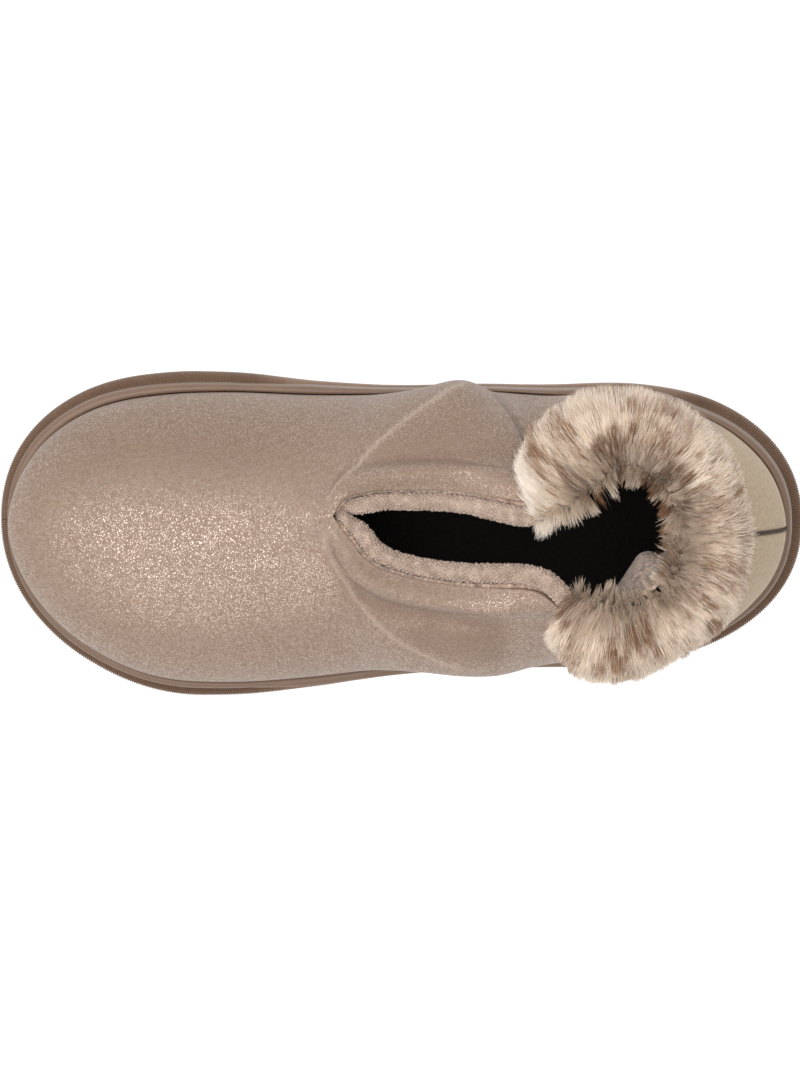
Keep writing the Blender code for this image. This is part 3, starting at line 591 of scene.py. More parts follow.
def linear(red, green, blue):
    """A colour given as it looks on screen, 0 to 255, as linear light."""
    values = []
    for value in (red, green, blue):
        value /= 255
        values.append(value / 12.92 if value <= 0.04045 else ((value + 0.055) / 1.055) ** 2.4)
    return (*values, 1.0)


class Socket:
    """Wraps a node's output so that shader maths reads as an expression."""

    def __init__(self, graph, output):
        self.graph = graph
        self.output = output

    def _math(self, operation, other, turned=False):
        first, second = (other, self) if turned else (self, other)
        return self.graph.node("ShaderNodeMath", {"operation": operation}, {0: first, 1: second})

    def __add__(self, other):
        return self._math("ADD", other)

    __radd__ = __add__

    def __sub__(self, other):
        return self._math("SUBTRACT", other)

    def __rsub__(self, other):
        return self._math("SUBTRACT", other, turned=True)

    def __mul__(self, other):
        return self._math("MULTIPLY", other)

    __rmul__ = __mul__


class Finish:
    """A material built on one Principled shader."""

    def __init__(self, name, **values):
        self.material = bpy.data.materials.new(name)
        self.material.use_nodes = True
        self.tree = self.material.node_tree
        self.shader = self.tree.nodes["Principled BSDF"]
        for socket, value in values.items():
            self.shader.inputs[socket.replace("_", " ").title().replace("Ior", "IOR")].default_value = value
        self.here = self.node("ShaderNodeTexCoord", {}, {}, "Object")

    def node(self, kind, settings, inputs, output=0):
        made = self.tree.nodes.new(kind)
        for key, value in settings.items():
            if key == "stops":
                ramp = made.color_ramp
                while len(ramp.elements) < len(value):
                    ramp.elements.new(0.5)
                for element, (place, colour) in zip(ramp.elements, value):
                    element.position = place
                    element.color = colour
            else:
                setattr(made, key, value)
        for key, value in inputs.items():
            if isinstance(value, Socket):
                self.tree.links.new(value.output, made.inputs[key])
            else:
                made.inputs[key].default_value = value
        return Socket(self, made.outputs[output])

    def coat(self):
        """The piece's own colour attribute."""
        return self.node("ShaderNodeAttribute", {"attribute_name": "coat"}, {}, "Color")

    def noise(self, scale, detail=4.0, roughness=0.55):
        inputs = {"Vector": self.here, "Scale": scale, "Detail": detail, "Roughness": roughness}
        return self.node("ShaderNodeTexNoise", {}, inputs, "Fac")

    def cells(self, scale, output="Color"):
        return self.node("ShaderNodeTexVoronoi", {}, {"Vector": self.here, "Scale": scale}, output)

    def split(self, colour, channel):
        return self.node("ShaderNodeSeparateColor", {}, {0: colour}, channel)

    def ramp(self, factor, *stops):
        """A colour ramp. Each stop is its place and its colour as it looks on screen."""
        stops = [(place, linear(*colour)) for place, *colour in stops]
        return self.node("ShaderNodeValToRGB", {"stops": stops}, {0: factor}, "Color")

    def step(self, value, low, high):
        inputs = {0: value, 1: low, 2: high, 3: 0.0, 4: 1.0}
        return self.node("ShaderNodeMapRange", {"interpolation_type": "SMOOTHSTEP"}, inputs)

    def mix(self, factor, first, second, blend="MIX"):
        settings = {"data_type": "RGBA", "blend_type": blend}
        return self.node("ShaderNodeMix", settings, {0: factor, 6: first, 7: second}, 2)

    def vector(self, operation, inputs):
        return self.node("ShaderNodeVectorMath", {"operation": operation}, inputs)

    def bump(self, height, strength, distance):
        inputs = {"Height": height, "Strength": strength, "Distance": distance}
        return self.node("ShaderNodeBump", {}, inputs, "Normal")

    def feed(self, **sockets):
        for name, value in sockets.items():
            self.tree.links.new(value.output, self.shader.inputs[name.replace("_", " ").title()])
        return self.material


def suede_finish():
    """Short-napped suede with fine metallic flecks, creamier and smoother at the heel; its colour carries
    painted shade in folds and on the inner side, a painted highlight on seam ridges and a painted shadow
    along the inner wing's edge.
    """
    make = Finish("shimmer suede", roughness=0.5, metallic=0.0, specular_ior_level=0.22)
    blotch = make.noise(14.0, 3.0, 0.5)
    nap = make.noise(700.0, 4.0, 0.7)
    flakes = make.cells(3500.0)
    spark = make.split(flakes, "Green")
    base = make.ramp(blotch, (0.30, 152, 128, 111), (0.70, 163, 139, 122))
    coat = make.coat()
    seam = make.split(coat, "Red")
    shade_and_highlight = make.split(coat, "Green")
    heel = make.split(coat, "Blue")
    base = make.mix(heel, base, linear(194, 172, 142))
    grain = make.ramp(nap, (0.30, 216, 210, 206), (0.60, 255, 255, 255))
    base = make.mix(0.8, base, grain, "MULTIPLY")
    glint = make.step(spark, 0.66, 0.86) * (1.0 - 0.85 * heel)
    # flakes lightened in the base colour: partly their own silvery colour, partly a painted glint
    base = make.mix(glint * 0.35, base, linear(250, 236, 226))
    # painted shade: folds and the inner side darkened
    base = make.mix(make.step(shade_and_highlight, 0.5, 0.0) * 0.45, base, linear(128, 107, 90))
    # painted highlight along the seam ridges
    base = make.mix(make.step(shade_and_highlight, 0.5, 1.0) * 0.30, base, linear(206, 184, 166))
    # dark stitch colour, and the painted shadow along the inner wing's edge
    base = make.mix(seam * 0.85, base, linear(58, 44, 34))
    rough = 0.56 - 0.24 * glint
    metal = (0.06 + 0.44 * glint) * (1.0 - 0.8 * heel)
    lean = make.vector("SUBTRACT", {0: flakes, 1: (0.5, 0.5, 0.5)})
    lean = make.vector("SCALE", {0: lean, "Scale": 0.36 * glint})
    normal = make.vector("ADD", {0: make.bump(nap, 0.12, 0.0004), 1: lean})
    normal = make.vector("NORMALIZE", {0: normal})
    return make.feed(base_color=base, roughness=rough, metallic=metal, normal=normal)


def fleece_finish():
    """Looped cream fleece, with painted shade turning it near-black deep inside the boot, away from the
    collar's edge.
    """
    make = Finish("fleece lining", roughness=0.95, sheen_weight=0.3, sheen_roughness=0.6)
    loops = make.cells(620.0, "Distance")
    soft = make.noise(180.0)
    cream = make.ramp(loops, (0.0, 216, 190, 170), (0.6, 176, 148, 128), (1.0, 126, 100, 84))
    light = make.split(make.coat(), "Red")
    # painted shade: near-black everywhere except near the throat's edge and in the heel's bag
    colour = make.mix(light, linear(14, 9, 7), cream)
    return make.feed(base_color=colour, normal=make.bump(loops + 0.5 * soft, 0.9, 0.0012))


def pile_finish():
    """Curly cream pile."""
    make = Finish("curly pile", roughness=0.9, sheen_weight=0.2, sheen_roughness=0.5)
    tone = make.noise(300.0, 3.0)
    fine = make.noise(2600.0, 3.0)
    colour = make.ramp(tone, (0.30, 158, 136, 120), (0.55, 182, 160, 144), (0.80, 204, 184, 169))
    return make.feed(base_color=colour, normal=make.bump(fine, 0.35, 0.0002))


def hair_finish():
    """Long fur: the colour follows each hair from its root to its tip, with painted shade darkening it near
    the root.
    """
    sheen = linear(255, 236, 214)
    make = Finish("long fur", roughness=0.55, sheen_weight=0.45, sheen_roughness=0.4, sheen_tint=sheen)
    coat = make.coat()
    along = make.split(coat, "Red")
    patch = make.split(coat, "Green")
    tone = make.split(coat, "Blue")
    cream = make.ramp(tone, (0.0, 222, 198, 172), (0.5, 240, 222, 202), (1.0, 252, 244, 234))
    # painted shade near the root, where the hairs shade each other
    root = make.step(along, 0.45, 0.0)
    colour = make.mix(root * 0.3, cream, linear(214, 180, 144))
    tip = make.step(along, 0.30, 0.85) * make.step(patch, 0.46, 0.80)
    colour = make.mix(tip * 0.95, colour, linear(140, 95, 58))
    return make.feed(base_color=colour)


def undercoat_finish():
    """The dense wool under the long hairs."""
    make = Finish("undercoat", roughness=1.0)
    tone = make.noise(110.0, 4.0)
    fine = make.noise(1500.0, 4.0)
    colour = make.ramp(tone, (0.35, 202, 174, 148), (0.6, 228, 206, 182), (0.75, 240, 224, 206))
    return make.feed(base_color=colour, normal=make.bump(fine, 0.8, 0.001))


def sole_finish(name, dark, light, rough, shaded_grooves=False):
    """Moulded sole rubber with a dusty, slightly mottled skin, and painted shade in the ribs' grooves where
    asked.
    """
    make = Finish(name, roughness=rough)
    mottle = make.noise(60.0, 5.0, 0.6)
    grain = make.noise(1800.0, 3.0)
    colour = make.ramp(mottle, (0.30, *dark), (0.70, *light))
    if shaded_grooves:
        # painted shade in the grooves between the ribs
        colour = make.mix(make.split(make.coat(), "Red") * 0.26, colour, linear(98, 76, 60))
    dusty = rough + 0.15 * (mottle - 0.5)
    return make.feed(base_color=colour, roughness=dusty, normal=make.bump(grain, 0.25, 0.0002))


def thread_finish():
    """Dark sewing thread."""
    make = Finish("dark thread", roughness=0.9)
    strand = make.noise(1400.0, 3.0)
    colour = make.ramp(strand, (0.35, 52, 40, 31), (0.65, 78, 62, 49))
    return make.feed(base_color=colour, normal=make.bump(strand, 0.5, 0.0002))


# Near-black fleece: a painted shade that stands for the darkness inside the boot
def insole_painted_shade_finish():
    make = Finish("insole fleece", roughness=1.0)
    loops = make.cells(600.0, "Distance")
    colour = make.ramp(loops, (0.0, 20, 14, 11), (1.0, 10, 7, 5))
    return make.feed(base_color=colour, normal=make.bump(loops, 0.6, 0.001))


SUEDE = suede_finish()
FLEECE = fleece_finish()
PILE = pile_finish()
HAIR = hair_finish()
UNDERCOAT = undercoat_finish()
RUBBER = sole_finish("bumper rubber", (130, 105, 87), (142, 116, 97), 0.62)
RIBBED = sole_finish("ribbed rubber", (138, 112, 93), (150, 123, 104), 0.62, shaded_grooves=True)
FOAM = sole_finish("midsole foam", (124, 99, 81), (136, 111, 93), 0.5)
THREAD = thread_finish()
INSOLE_PAINTED_SHADE = insole_painted_shade_finish()


# Upper


def make_upper():
    columns, rows = ((220, 96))

    def suede_marks(points, marks):
        """Dark stitch lines and a painted shadow along the inner wing's edge, then a tone from painted shade
        in folds and on the inner side (0) to a painted highlight on seam ridges (1), then the cream heel.
        """
        low_down = np.clip(marks[..., PLACE] - 15.5, 0, 1)
        cream = np.clip((points[..., 0] - 0.100) / 0.012, 0, 1) * low_down
        # the back seam's dark stitch line, and a painted shadow along the inner wing's overlapping edge
        dark = np.maximum(marks[..., STITCH], 0.45 * marks[..., EDGE])
        # painted highlight along the seam ridges, where a fold does not outweigh them
        light = np.where(marks[..., SEAM] > marks[..., FOLD] * 0.2, marks[..., SEAM], 0)
        # painted shade on the inner (+y) side, where less light falls, added to the painted shade in folds
        painted_side_shade = np.clip((points[..., 1] - 0.010) / 0.025, 0, 1)
        low = np.maximum(marks[..., FOLD], 0.75 * painted_side_shade * (1 - cream))
        return np.stack((dark, 0.5 + 0.5 * light - 0.5 * low * (1 - light), cream), axis=-1)

    skin = upper_skin_points(columns, rows, 0.0)
    shape = skin_piece("suede_upper", SUEDE, skin, SUEDE_THICKNESS, suede_marks)
    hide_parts("upper")

    def fleece_marks(points, marks):
        """Where the fleece keeps its cream colour rather than the painted near-black shade: near the throat's
        edge, and further down where it bags at the heel.
        """
        rim = np.clip(1.3 - marks[..., DEPTH] / 0.0030, 0, 1) * (marks[..., PLACE] < COLLAR_BACK_RIB)
        light = np.maximum(rim, np.clip(heel_sag(points) * 1.7, 0, 1))
        return np.stack((light, marks[..., STITCH], marks[..., STITCH]), axis=-1)

    skin = upper_skin_points(120, 56, LINING_INSET, SAG)
    skin_piece("fleece_lining", FLEECE, skin, LINING_THICKNESS, fleece_marks)


def ridge_line(first, last, count):
    """Where the two sides of the upper meet, from one rib to another."""
    rows = np.array([blend_rows(RIB_ROWS, at) for at in np.linspace(first, last, count)])
    return rows[:, [1, 4, 2]]


def tube_points(line, side, up, radius, around):
    """Grid of a tube: columns along the line, rows round it."""
    turn = np.linspace(0, 2 * math.pi, around + 1)
    ring = side[:, None] * np.cos(turn)[None, :, None] + up[:, None] * np.sin(turn)[None, :, None]
    return line[:, None] + ring * radius


def make_back_seam():
    """The dark seam down the middle of the heel, from under the fur to the sole's lip."""
    ridge = ridge_line(COLLAR_BACK_RIB + 0.5, LAST_RIB, 90)
    line = along_line(np.concatenate((ridge, rib_curve(LAST_RIB, "inner")[1:])), 100)
    side = np.tile(np.array((0.0, 1.0, 0.0)), (len(line), 1))
    out = np.cross(unit(np.gradient(line, axis=0)), side)
    work = grid_bmesh(tube_points(line, side, out, SEAM_RADIUS, 8))
    weld(work, fill=True)
    piece_from(work, "back_seam", THREAD)


# Binding


def binding_centre(at, side):
    depths = np.array([0.0, 0.001, 0.22 * LIP_WIDTH])
    (edge, _, below), normals = wall_column(side, at, depths)
    onward = (edge - below) / np.linalg.norm(edge - below)
    inward = normals[1] * (WALL / 2 + BINDING_RADIUS * 0.6)
    return edge + onward * (BINDING_RADIUS + GAP) * 0.75 - inward


def binding_line():
    """Middle line of the binding, from its inner end round the throat's foot to its outer end."""
    first, steps = THROAT_RIB + 0.32, 24
    arms = {}
    for side, last in (("inner", COLLAR_FRONT_RIB - 0.1), ("outer", COLLAR_FRONT_RIB + 0.85)):
        arms[side] = [binding_centre(first + (last - first) * k / steps, side) for k in range(steps + 1)]
    start, end = arms["inner"][0], arms["outer"][0]
    middle, half = (start + end) / 2, (start - end) / 2
    ahead = (start - arms["inner"][1]) + (end - arms["outer"][1])
    ahead = ahead / np.linalg.norm(ahead)
    turns = [math.pi * k / 10 for k in range(1, 10)]
    turn = [middle + half * math.cos(a) + ahead * 1.85 * BINDING_TURN * math.sin(a) for a in turns]
    return np.array(arms["inner"][::-1] + turn + arms["outer"])


def tube_frames(line):
    """Unit tangents and two directions across a line."""
    tangent = unit(np.gradient(line, axis=0))
    side = unit(np.cross(tangent, np.array((0.0, 0.0, 1.0))))
    return tangent, side, np.cross(side, tangent)


def along_line(line, count):
    """The same line with evenly spaced points."""
    lengths = lengths_along(line)
    return read_line(np.linspace(0, lengths[-1], count), lengths, line)


def make_binding():
    """A roll with closed, rounded ends, covered in small curls of pile."""
    line = along_line(binding_line(), BINDING_POINTS)
    ahead, side, up = tube_frames(line)
    steps = np.arange(BINDING_POINTS)
    end = np.minimum(steps, BINDING_POINTS - 1 - steps) / 9.0
    radius = BINDING_RADIUS * 0.90 * np.sqrt(np.clip(1 - (1 - np.clip(end, 0, 1)) ** 2, 0.0004, 1))
    tip = np.abs(steps - int(np.argmin(line[:, 0]))) / 24.0
    radius *= BINDING_TIP + (1 - BINDING_TIP) * np.clip(tip, 0, 1)
    work = grid_bmesh(tube_points(line, side, up, radius[:, None, None], 24))
    weld(work)
    random.seed(3)
    rows = int(lengths_along(line)[-1] / NUB_PITCH / (1))
    for row in range(1, rows):
        k = min(BINDING_POINTS - 5, max(4, int(row / rows * BINDING_POINTS)))
        batch = bmesh.new()
        for bead in range(10):
            a = -0.45 + (math.pi + 0.9) * (bead + 0.5 * (row % 2) + random.uniform(-0.25, 0.25)) / 9.5
            out = (side[k] * math.cos(a) + up[k] * math.sin(a)) * radius[k]
            place = line[k] + out * random.uniform(0.98, 1.08)
            shift = NUB_PITCH * random.uniform(-0.25, 0.25)
            matrix = Matrix.Translation(Vector(place) + Vector(ahead[k]) * shift)
            matrix @= Matrix.Rotation(random.uniform(0, 6.28), 4, "Z") @ Matrix.Diagonal((1.0, 0.8, 0.9, 1.0))
            size = NUB_RADIUS * random.uniform(0.75, 1.15)
            bmesh.ops.create_uvsphere(batch, u_segments=6, v_segments=4, radius=size, matrix=matrix)
        curls = bpy.data.meshes.new("curls")
        batch.to_mesh(curls)
        batch.free()
        work.from_mesh(curls)
        bpy.data.meshes.remove(curls)
    shape = piece_from(work, "pile_binding", PILE)
    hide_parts("throat_binding")


# Fur cuff


def cuff_ribs(steps):
    """Ribs along the collar from its inner front round the back to its outer front."""
    inner = np.linspace(COLLAR_FRONT_RIB - 0.05, COLLAR_BACK_RIB - 0.22, steps)
    outer = np.linspace(COLLAR_BACK_RIB - 0.22, COLLAR_FRONT_RIB + 0.95, steps)
    return [("inner", at) for at in inner] + [("back", COLLAR_BACK_RIB)] + [("outer", at) for at in outer]


def back_column(depths):
    """Places and outward normals down the middle of the heel."""
    line = ridge_line(COLLAR_BACK_RIB, LAST_RIB, 120)
    lengths = lengths_along(line)
    slope = read_line(depths, lengths, np.gradient(line, axis=0))
    normal = np.stack((-slope[:, 2], np.zeros(len(depths)), slope[:, 0]), axis=1)
    return read_line(depths, lengths, line), unit(normal)


def wall_column(side, at, depths):
    """Places and outward normals down one rib near the collar."""
    if side == "back":
        return back_column(depths)
    before, here, after = [
        down_the_rib(rib_curve(a, side), depths) for a in (at - RIB_NUDGE, at, at + RIB_NUDGE)
    ]
    lower = down_the_rib(rib_curve(at, side), depths + DEPTH_NUDGE)
    upper = down_the_rib(rib_curve(at, side), np.maximum(0, depths - DEPTH_NUDGE))
    normal = unit(np.cross(after - before, lower - upper) * sign_of(side))
    return here + normal * lip_lift(at, depths)[:, None], normal


def cuff_section(side, at, share, fullness):
    """Outer chain of the cuff's section: up the outside, over the edge and down the inside."""
    outside, inside, drop, crown = by_share(FUR_CLUMPS, share)
    downs = np.array([down * drop * FUR_DROP for _, down in FUR_OUTSIDE])
    wall, away = wall_column(side, at, downs)
    inner_full = fullness if fullness < 1 else fullness * INSIDE_REACH
    chain = []
    for w, a, (out, _) in zip(wall, away, FUR_OUTSIDE):
        chain.append(w + a * (GAP + fullness * outside * out * FUR_PILE))
    (edge, lower), normals = wall_column(side, at, np.array([0.0, 0.004]))
    onward = (edge - lower) / np.linalg.norm(edge - lower)
    for out, over in FUR_OVER:
        reach = (outside if out > 0 else inside) * out * FUR_PILE
        height = GAP + fullness * over * crown * FUR_CROWN
        chain.append(edge + normals[0] * (reach * (fullness if out > 0 else inner_full)) + onward * height)
    downs = np.array([down * FUR_INSIDE_DROP for _, down in FUR_INSIDE])
    wall, away = wall_column(side, at, downs)
    for w, a, (into, _) in zip(wall, away, FUR_INSIDE):
        chain.append(w - a * (WALL + GAP + inner_full * inside * into * FUR_PILE))
    return np.array(chain)


def cuff_grid(fullness, steps, rows):
    """Grid of the cuff's face: columns along the collar, rows round the section."""
    ribs = cuff_ribs(steps)
    columns = []
    for k, (side, at) in enumerate(ribs):
        chain = cuff_section(side, at, k / (len(ribs) - 1), fullness)
        fine = [blend_rows(chain, v * (len(chain) - 1)) for v in np.linspace(0, 1, rows)]
        columns.append(np.array(fine))
    grid = np.array(columns)
    seam = grid[steps]
    for k in range(1, CUFF_BLEND):
        part = 0.5 - 0.5 * math.cos(math.pi * k / CUFF_BLEND)
        for way in (-1, 1):
            straight = seam + (grid[steps + way * CUFF_BLEND] - seam) * k / CUFF_BLEND
            grid[steps + way * k] = grid[steps + way * k] * part + (1 - part) * straight
    return grid


def sample(grid, u, v):
    """Places on a grid at shares across and down."""
    across, down = grid.shape[0] - 1, grid.shape[1] - 1
    x = np.clip(u, 0, 1) * across
    y = np.clip(v, 0, 1) * down
    i = np.minimum(x.astype(int), across - 1)
    j = np.minimum(y.astype(int), down - 1)
    s, t = (x - i)[:, None], (y - j)[:, None]
    return (
        grid[i, j] * (1 - s) * (1 - t)
        + grid[i + 1, j] * s * (1 - t)
        + grid[i, j + 1] * (1 - s) * t
        + grid[i + 1, j + 1] * s * t
    )


def lay_of(v):
    """How far round the section a hair's tip lies from its root: over the crest and down the outside."""
    places = (0.0, 0.15, 0.45, 0.65, 0.80, 0.90, 1.0)
    return np.interp(v, places, (-0.08, -0.16, -0.22, -0.24, -0.26, -0.27, -0.24))


def end_flare(shell, u):
    """Hairs at the cuff's two ends lean on past them."""
    front = shell[0].mean(axis=0) - shell[4].mean(axis=0)
    rear = shell[-1].mean(axis=0) - shell[-5].mean(axis=0)
    flare = np.zeros((len(u), 3))
    for way, share in ((front, 1 - u / 0.05), (rear, 1 - (1 - u) / 0.05)):
        flare += np.clip(share, 0, 1)[:, None] * way / np.linalg.norm(way) * 0.0075
    return flare


def hair_clumps(core, shell):
    """Clumps of hair: where each lies, its length, root and tip, and how brown it is."""
    rng = np.random.default_rng(5)
    u, v = rng.random(CLUMPS), rng.random(CLUMPS)
    shift = rng.normal(0, 1, (CLUMPS, 2))
    length = rng.uniform(0.75, 1.25, CLUMPS)
    root = sample(core, u, v)
    spots = [Vector(p) * 150.0 + Vector((3.0, 1.0, 7.0)) for p in root]
    brown = np.array([noise.fractal(spot, 0.8, 2.0, 3) for spot in spots])
    brown = (brown - brown.min()) / (brown.max() - brown.min())
    down = np.clip(v + lay_of(v) * length + 0.02 * shift[:, 1], 0.0, 1.0)
    tip = sample(shell, u + 0.012 * shift[:, 0], down)
    tip = root + (tip - root) * (0.96 + 0.12 * (length[:, None] - 1) * 4)
    return np.stack((u * CUFF_LENGTH, v * CUFF_BREADTH), axis=1), length, root, tip, brown


def hair_piece(name, count, seed, core, shell):
    """Tapered ribbons of hair, gathered in clumps, from the cuff's core to its shell."""
    rng = np.random.default_rng(seed)
    seeds, clength, croot, ctip, patches = hair_clumps(core, shell)
    u, v = rng.random(count), rng.random(count)
    nearest = np.zeros(count, int)
    around = np.stack((u * CUFF_LENGTH, v * CUFF_BREADTH), axis=1)
    for start in range(0, count, 4000):
        part = around[start : start + 4000]
        nearest[start : start + 4000] = np.argmin(((part[:, None] - seeds[None]) ** 2).sum(axis=2), axis=1)
    root = sample(core, u, v)
    length = rng.uniform(0.80, 1.12, count) * clength[nearest]
    stray = 0.010 + 0.022 * np.exp(-(((u - 0.5) / 0.03) ** 2))
    own = sample(shell, u + rng.normal(0, 1, count) * stray, np.clip(v + lay_of(v) * length, 0, 1))
    own = root + (own - root) * (0.86 + 0.26 * rng.random((count, 1)))
    own += end_flare(shell, u)
    pull = rng.uniform(0.35, 0.75, count)[:, None]
    tip = own * (1 - pull) + ctip[nearest] * pull
    straight = sample(shell, u, v) - root
    knee = root + straight * 0.62 + (tip - root) * 0.12
    knee = knee * (1 - 0.3 * pull) + (croot[nearest] + (ctip[nearest] - croot[nearest]) * 0.5) * 0.3 * pull
    knee += rng.normal(0, 0.00035, (count, 3))
    ts = np.array([0.0, 0.38, 0.72, 1.0])
    spine = np.stack([(1 - t) ** 2 * root + 2 * t * (1 - t) * knee + t**2 * tip for t in ts], axis=1)
    face = unit(straight) + rng.normal(0, 0.45, (count, 3))
    across = unit(np.cross(unit(np.gradient(spine, axis=1)), face[:, None]))
    taper = np.array([0.9, 1.0, 0.7, 0.12])[None, :, None]
    widths = HAIR_WIDTH * taper * rng.uniform(0.7, 1.2, (count, 1, 1))
    points = np.empty((2 * count, 4, 3))
    points[0::2], points[1::2] = spine - across * widths / 2, spine + across * widths / 2
    coat = np.empty((2 * count, 4, 4))
    coat[:, :, 0] = ts[None]
    patch = patches[nearest] + rng.normal(0, 0.13, count) + 0.22 * np.clip(1 - v / 0.22, 0, 1)
    white = np.clip(1 - u / 0.07, 0, 1) * (v > 0.45)
    patch = np.clip(patch, 0, 1) * (1 - white)
    tone = np.clip(rng.normal(0.5, 0.22, count) + 0.5 * white, 0, 1)
    coat[0::2, :, 1] = coat[1::2, :, 1] = patch[:, None]
    coat[0::2, :, 2] = coat[1::2, :, 2] = tone[:, None]
    coat[:, :, 3] = 1.0
    work = bmesh.new()
    bmesh.ops.create_grid(work, x_segments=3, y_segments=2 * count - 1, size=1)
    work.faces.ensure_lookup_table()
    between = [face for k, face in enumerate(work.faces) if (k // 3) % 2]
    bmesh.ops.delete(work, geom=between, context="FACES")
    mesh = bpy.data.meshes.new(name)
    work.to_mesh(mesh)
    work.free()
    places = points.reshape(-1, 3) + np.array(STAND)
    mesh.vertices.foreach_set("co", places.astype(np.float32).ravel())
    colours = mesh.attributes.new("coat", "FLOAT_COLOR", "POINT")
    colours.data.foreach_set("color", coat.reshape(-1, 4).astype(np.float32).ravel())
    mesh.update()
    mesh.shade_smooth()
    shape = place_mesh(mesh, HAIR)
    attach(shape, "root")


def make_fur():
    core, shell = cuff_grid(CORE_FULLNESS, 90, 60), cuff_grid(SHELL_FULLNESS, 90, 60)
    work = grid_bmesh(core)
    bmesh.ops.recalc_face_normals(work, faces=work.faces)
    shape = solidify(piece_from(work, "fur_undercoat", UNDERCOAT), UNDERCOAT_THICKNESS)
    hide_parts("fur_cuff")
    for k in range(HAIR_PIECES):
        hair_piece(f"fur_hair_{k + 1}", HAIRS_PER_PIECE, 20 + k, core, shell)


# Sole


def ring_points(shares, inset, height):
    """Closed loop round the sole: toe, inner side, heel, outer side."""
    loop = []
    for side, run in (("inner", shares), ("outer", shares[-2::-1])):
        for share in run:
            point = outline_point(share, side) - outline_normal(share, side) * inset(share, side)
            point[2] = height(point[0])
            loop.append(point)
    return np.array(loop)


def even_loop(loop, count):
    """The same loop with points spaced evenly in plan, and its length there."""
    lengths = lengths_along(loop[:, :2])
    return read_line(np.linspace(0, lengths[-1], count + 1), lengths, loop), lengths[-1]


def ribbed_at(x):
    """How fully the band is ribbed at a place along the sole: round the toe and round the heel."""
    return np.maximum(np.clip((-0.030 - x) / 0.020, 0, 1), np.clip((x - 0.088) / 0.014, 0, 1))


def make_bumper():
    """The outsole's side band, finely ribbed round the toe and the heel."""
    shares = STATION_SHARES[::2]
    level = (
        # inset, part of the height, rib depth outwards, rib depth downwards
        (-0.0003, 0.05, 0.0, 0.0),
        (-0.0005, 0.14, 0.5, 0.0),
        (-0.0007, 0.30, 1.0, 0.0),
        (-0.0007, 0.55, 1.0, 0.0),
        (-0.0007, 0.80, 1.0, 0.0),
        (-0.0005, 0.96, 0.9, 0.2),
        (-0.0001, 1.05, 0.6, 0.6),
        (0.0006, 1.08, 0.0, 1.0),
        (0.0012, 1.08, 0.0, 1.0),
        (0.0017, 1.07, 0.0, 0.8),
        (0.0024, 1.00, 0.0, 0.0),
    )

    def height_at(part):
        return lambda x: ground_height(x) + part * (parting_height(x) - GAP - ground_height(x))

    line, length = even_loop(ring_points(shares, lambda s, _: bumper_inset(s), height_at(0.5)), 1200)
    places = np.linspace(0, length, 1201)
    ribbed = ribbed_at(line[:, 0])
    steps = 4 * int(round(length / RIB_PITCH))
    run = np.arange(steps + 1) * length / steps
    strength = np.interp(run, places, ribbed)
    kept = (strength > 0) | (np.arange(steps + 1) % 16 == 0)
    ribs = np.abs((np.arange(steps + 1) % 4) / 2 - 1)[kept]
    run, strength = run[kept], strength[kept]
    base = read_line(run, places, line)
    ahead = read_line(run, places, np.gradient(line, axis=0))
    normal = unit(np.stack((-ahead[:, 1], ahead[:, 0], np.zeros(len(base))), axis=1))
    rings = []
    for inset, part, rib, fall in level:
        height = np.array([height_at(part)(x) for x in base[:, 0]])
        proud = np.where(inset < 0, 0.4 + 0.6 * strength, 1.0)
        ledge = RIBBED_LEDGE * strength * np.clip((inset - 0.0006) / 0.0011, 0, 1)
        out = -inset * proud - ledge - rib * RIB_DEPTH * ribs * strength
        ring = base + normal * out[:, None]
        ring[:, 2] = height - fall * RIB_DEPTH * ribs * strength
        rings.append(ring)
    work = bmesh.new()
    layer = work.verts.layers.float_color.new("coat")
    grid_bmesh(np.stack(rings, axis=1), work)
    # how deep each point lies in a rib's groove, for the painted shade there
    groove_shade = np.outer([max(rib, fall) for _, _, rib, fall in level], ribs * strength).ravel()
    for vert, groove_shade_share in zip(work.verts, groove_shade):
        vert[layer] = (groove_shade_share, 0.0, 0.0, 1.0)
    weld(work, 0.000005)
    shape = solidify(piece_from(work, "ribbed_bumper", RIBBED, angle=60), BUMPER_THICKNESS)


def make_midsole():
    """The smooth rounded band above the bumper, with the well the upper stands in."""
    shares = STATION_SHARES[::2]
    rings = (
        # part of the way from the step to the seat, more inwards, part of the height, lift
        (0.0, 0.0060, 0.00, 0.0),
        (0.0, 0.0012, 0.00, 0.0),
        (0.0, 0.0003, 0.06, 0.0),
        (0.0, -0.0001, 0.25, 0.0),
        (0.0, 0.0001, 0.50, 0.0),
        (0.0, 0.0002, 0.72, 0.0),
        (0.12, 0.0, 0.88, 0.0),
        (0.34, 0.0, 0.97, 0.0),
        (0.62, 0.0, 1.0, 0.0),
        (0.88, 0.0, 1.0, -0.0002),
        (1.0, 0.0, 1.0, -0.0010),
        (1.0, 0.0, 1.0, -LIP_DEPTH),
        (1.0, 0.004, 1.0, -LIP_DEPTH),
    )

    def ring_of(part, more, up, lift):
        def inset(share, side):
            step = BUMPER_STEP + RIBBED_LEDGE * float(ribbed_at(share * SOLE_LENGTH - HALF_LENGTH))
            return step + part * (rim_at(share, side) - GAP - step) + more

        def height(x):
            return parting_height(x) + up * (lip_height(x) - parting_height(x)) + lift

        return ring_points(shares, inset, height)

    fine = []
    for column in np.stack([ring_of(*ring) for ring in rings], axis=1):
        fine.append([blend_rows(column, v) for v in np.linspace(0, len(rings) - 1, 2 * len(rings) - 1)])
    work = grid_bmesh(np.array(fine))
    weld(work, 0.000005, fill=True)
    shape = piece_from(work, "foam_midsole", FOAM, angle=60)
    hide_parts("midsole")


# Studio


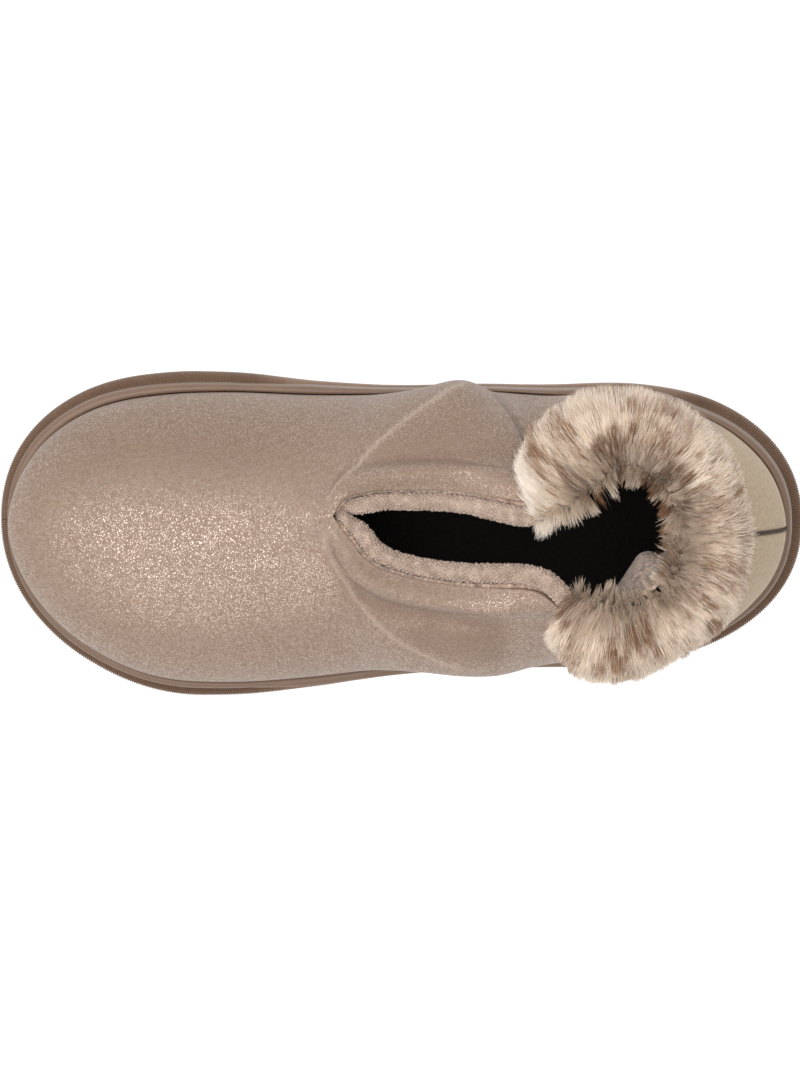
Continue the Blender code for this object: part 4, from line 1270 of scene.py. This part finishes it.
def make_studio():
    grey, pale = (0.2, 0.2, 0.2, 1), (1.0, 1.0, 1.0, 1)
    white = Finish("studio floor", roughness=0.9, base_color=grey)
    white.shader.inputs["Emission Color"].default_value = pale
    white.shader.inputs["Emission Strength"].default_value = 0.95
    work = bmesh.new()
    bmesh.ops.create_grid(work, x_segments=1, y_segments=1, size=3.0)
    mesh = bpy.data.meshes.new("studio_floor")
    work.to_mesh(mesh)
    work.free()
    floor = place_mesh(mesh, white.material)
    floor.location.z = -0.0004
    world = bpy.data.worlds.new("studio")
    bpy.context.scene.world = world
    world.use_nodes = True
    sky = world.node_tree.nodes["Background"].inputs
    sky["Color"].default_value = pale
    sky["Strength"].default_value = 0.32
    for name, place, size, power in (
        ("outer side", (-0.30, -0.70, 1.20), 0.9, 5.0),
        ("overhead", (-0.06, 0.24, 1.42), 1.1, 19.0),
    ):
        light = bpy.data.lights.new(name, "AREA")
        light.energy = power
        light.size = size
        lamp = bpy.data.objects.new(name, light)
        lamp.location = place
        lamp.rotation_euler = (Vector((0, 0, 0.05)) - Vector(place)).to_track_quat("-Z", "Y").to_euler()
        bpy.context.scene.collection.objects.link(lamp)
    camera = bpy.data.objects.new("camera", bpy.data.cameras.new("camera"))
    bpy.context.scene.collection.objects.link(camera)
    bpy.context.scene.camera = camera
    target = STAND + Vector((0, 0, CAMERA_TARGET_HEIGHT))
    away = Vector((CAMERA_LEAN, CAMERA_LEAN, 1.0)).normalized()
    right = Vector((0, 1, 0)).cross(away).normalized()
    top = away.cross(right).normalized()
    turned = Matrix((right, top, away)).transposed().to_4x4()
    camera.matrix_world = Matrix.Translation(target + away * CAMERA_DISTANCE) @ turned
    camera.data.sensor_width = 36
    camera.data.lens = 36 * CAMERA_DISTANCE / (SOLE_LENGTH * 1070 / 797)
    camera.data.clip_start = 0.05
    camera.data.clip_end = 20
    bpy.context.scene.view_settings.view_transform = "Standard"


def dress_cad_nodes():
    for name, material in (("outsole", RUBBER), ("insole", INSOLE_PAINTED_SHADE)):
        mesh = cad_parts[name].data
        mesh.materials.clear()
        mesh.materials.append(material)


make_studio()
dress_cad_nodes()
make_upper()
make_back_seam()
make_binding()
make_fur()
make_bumper()
make_midsole()
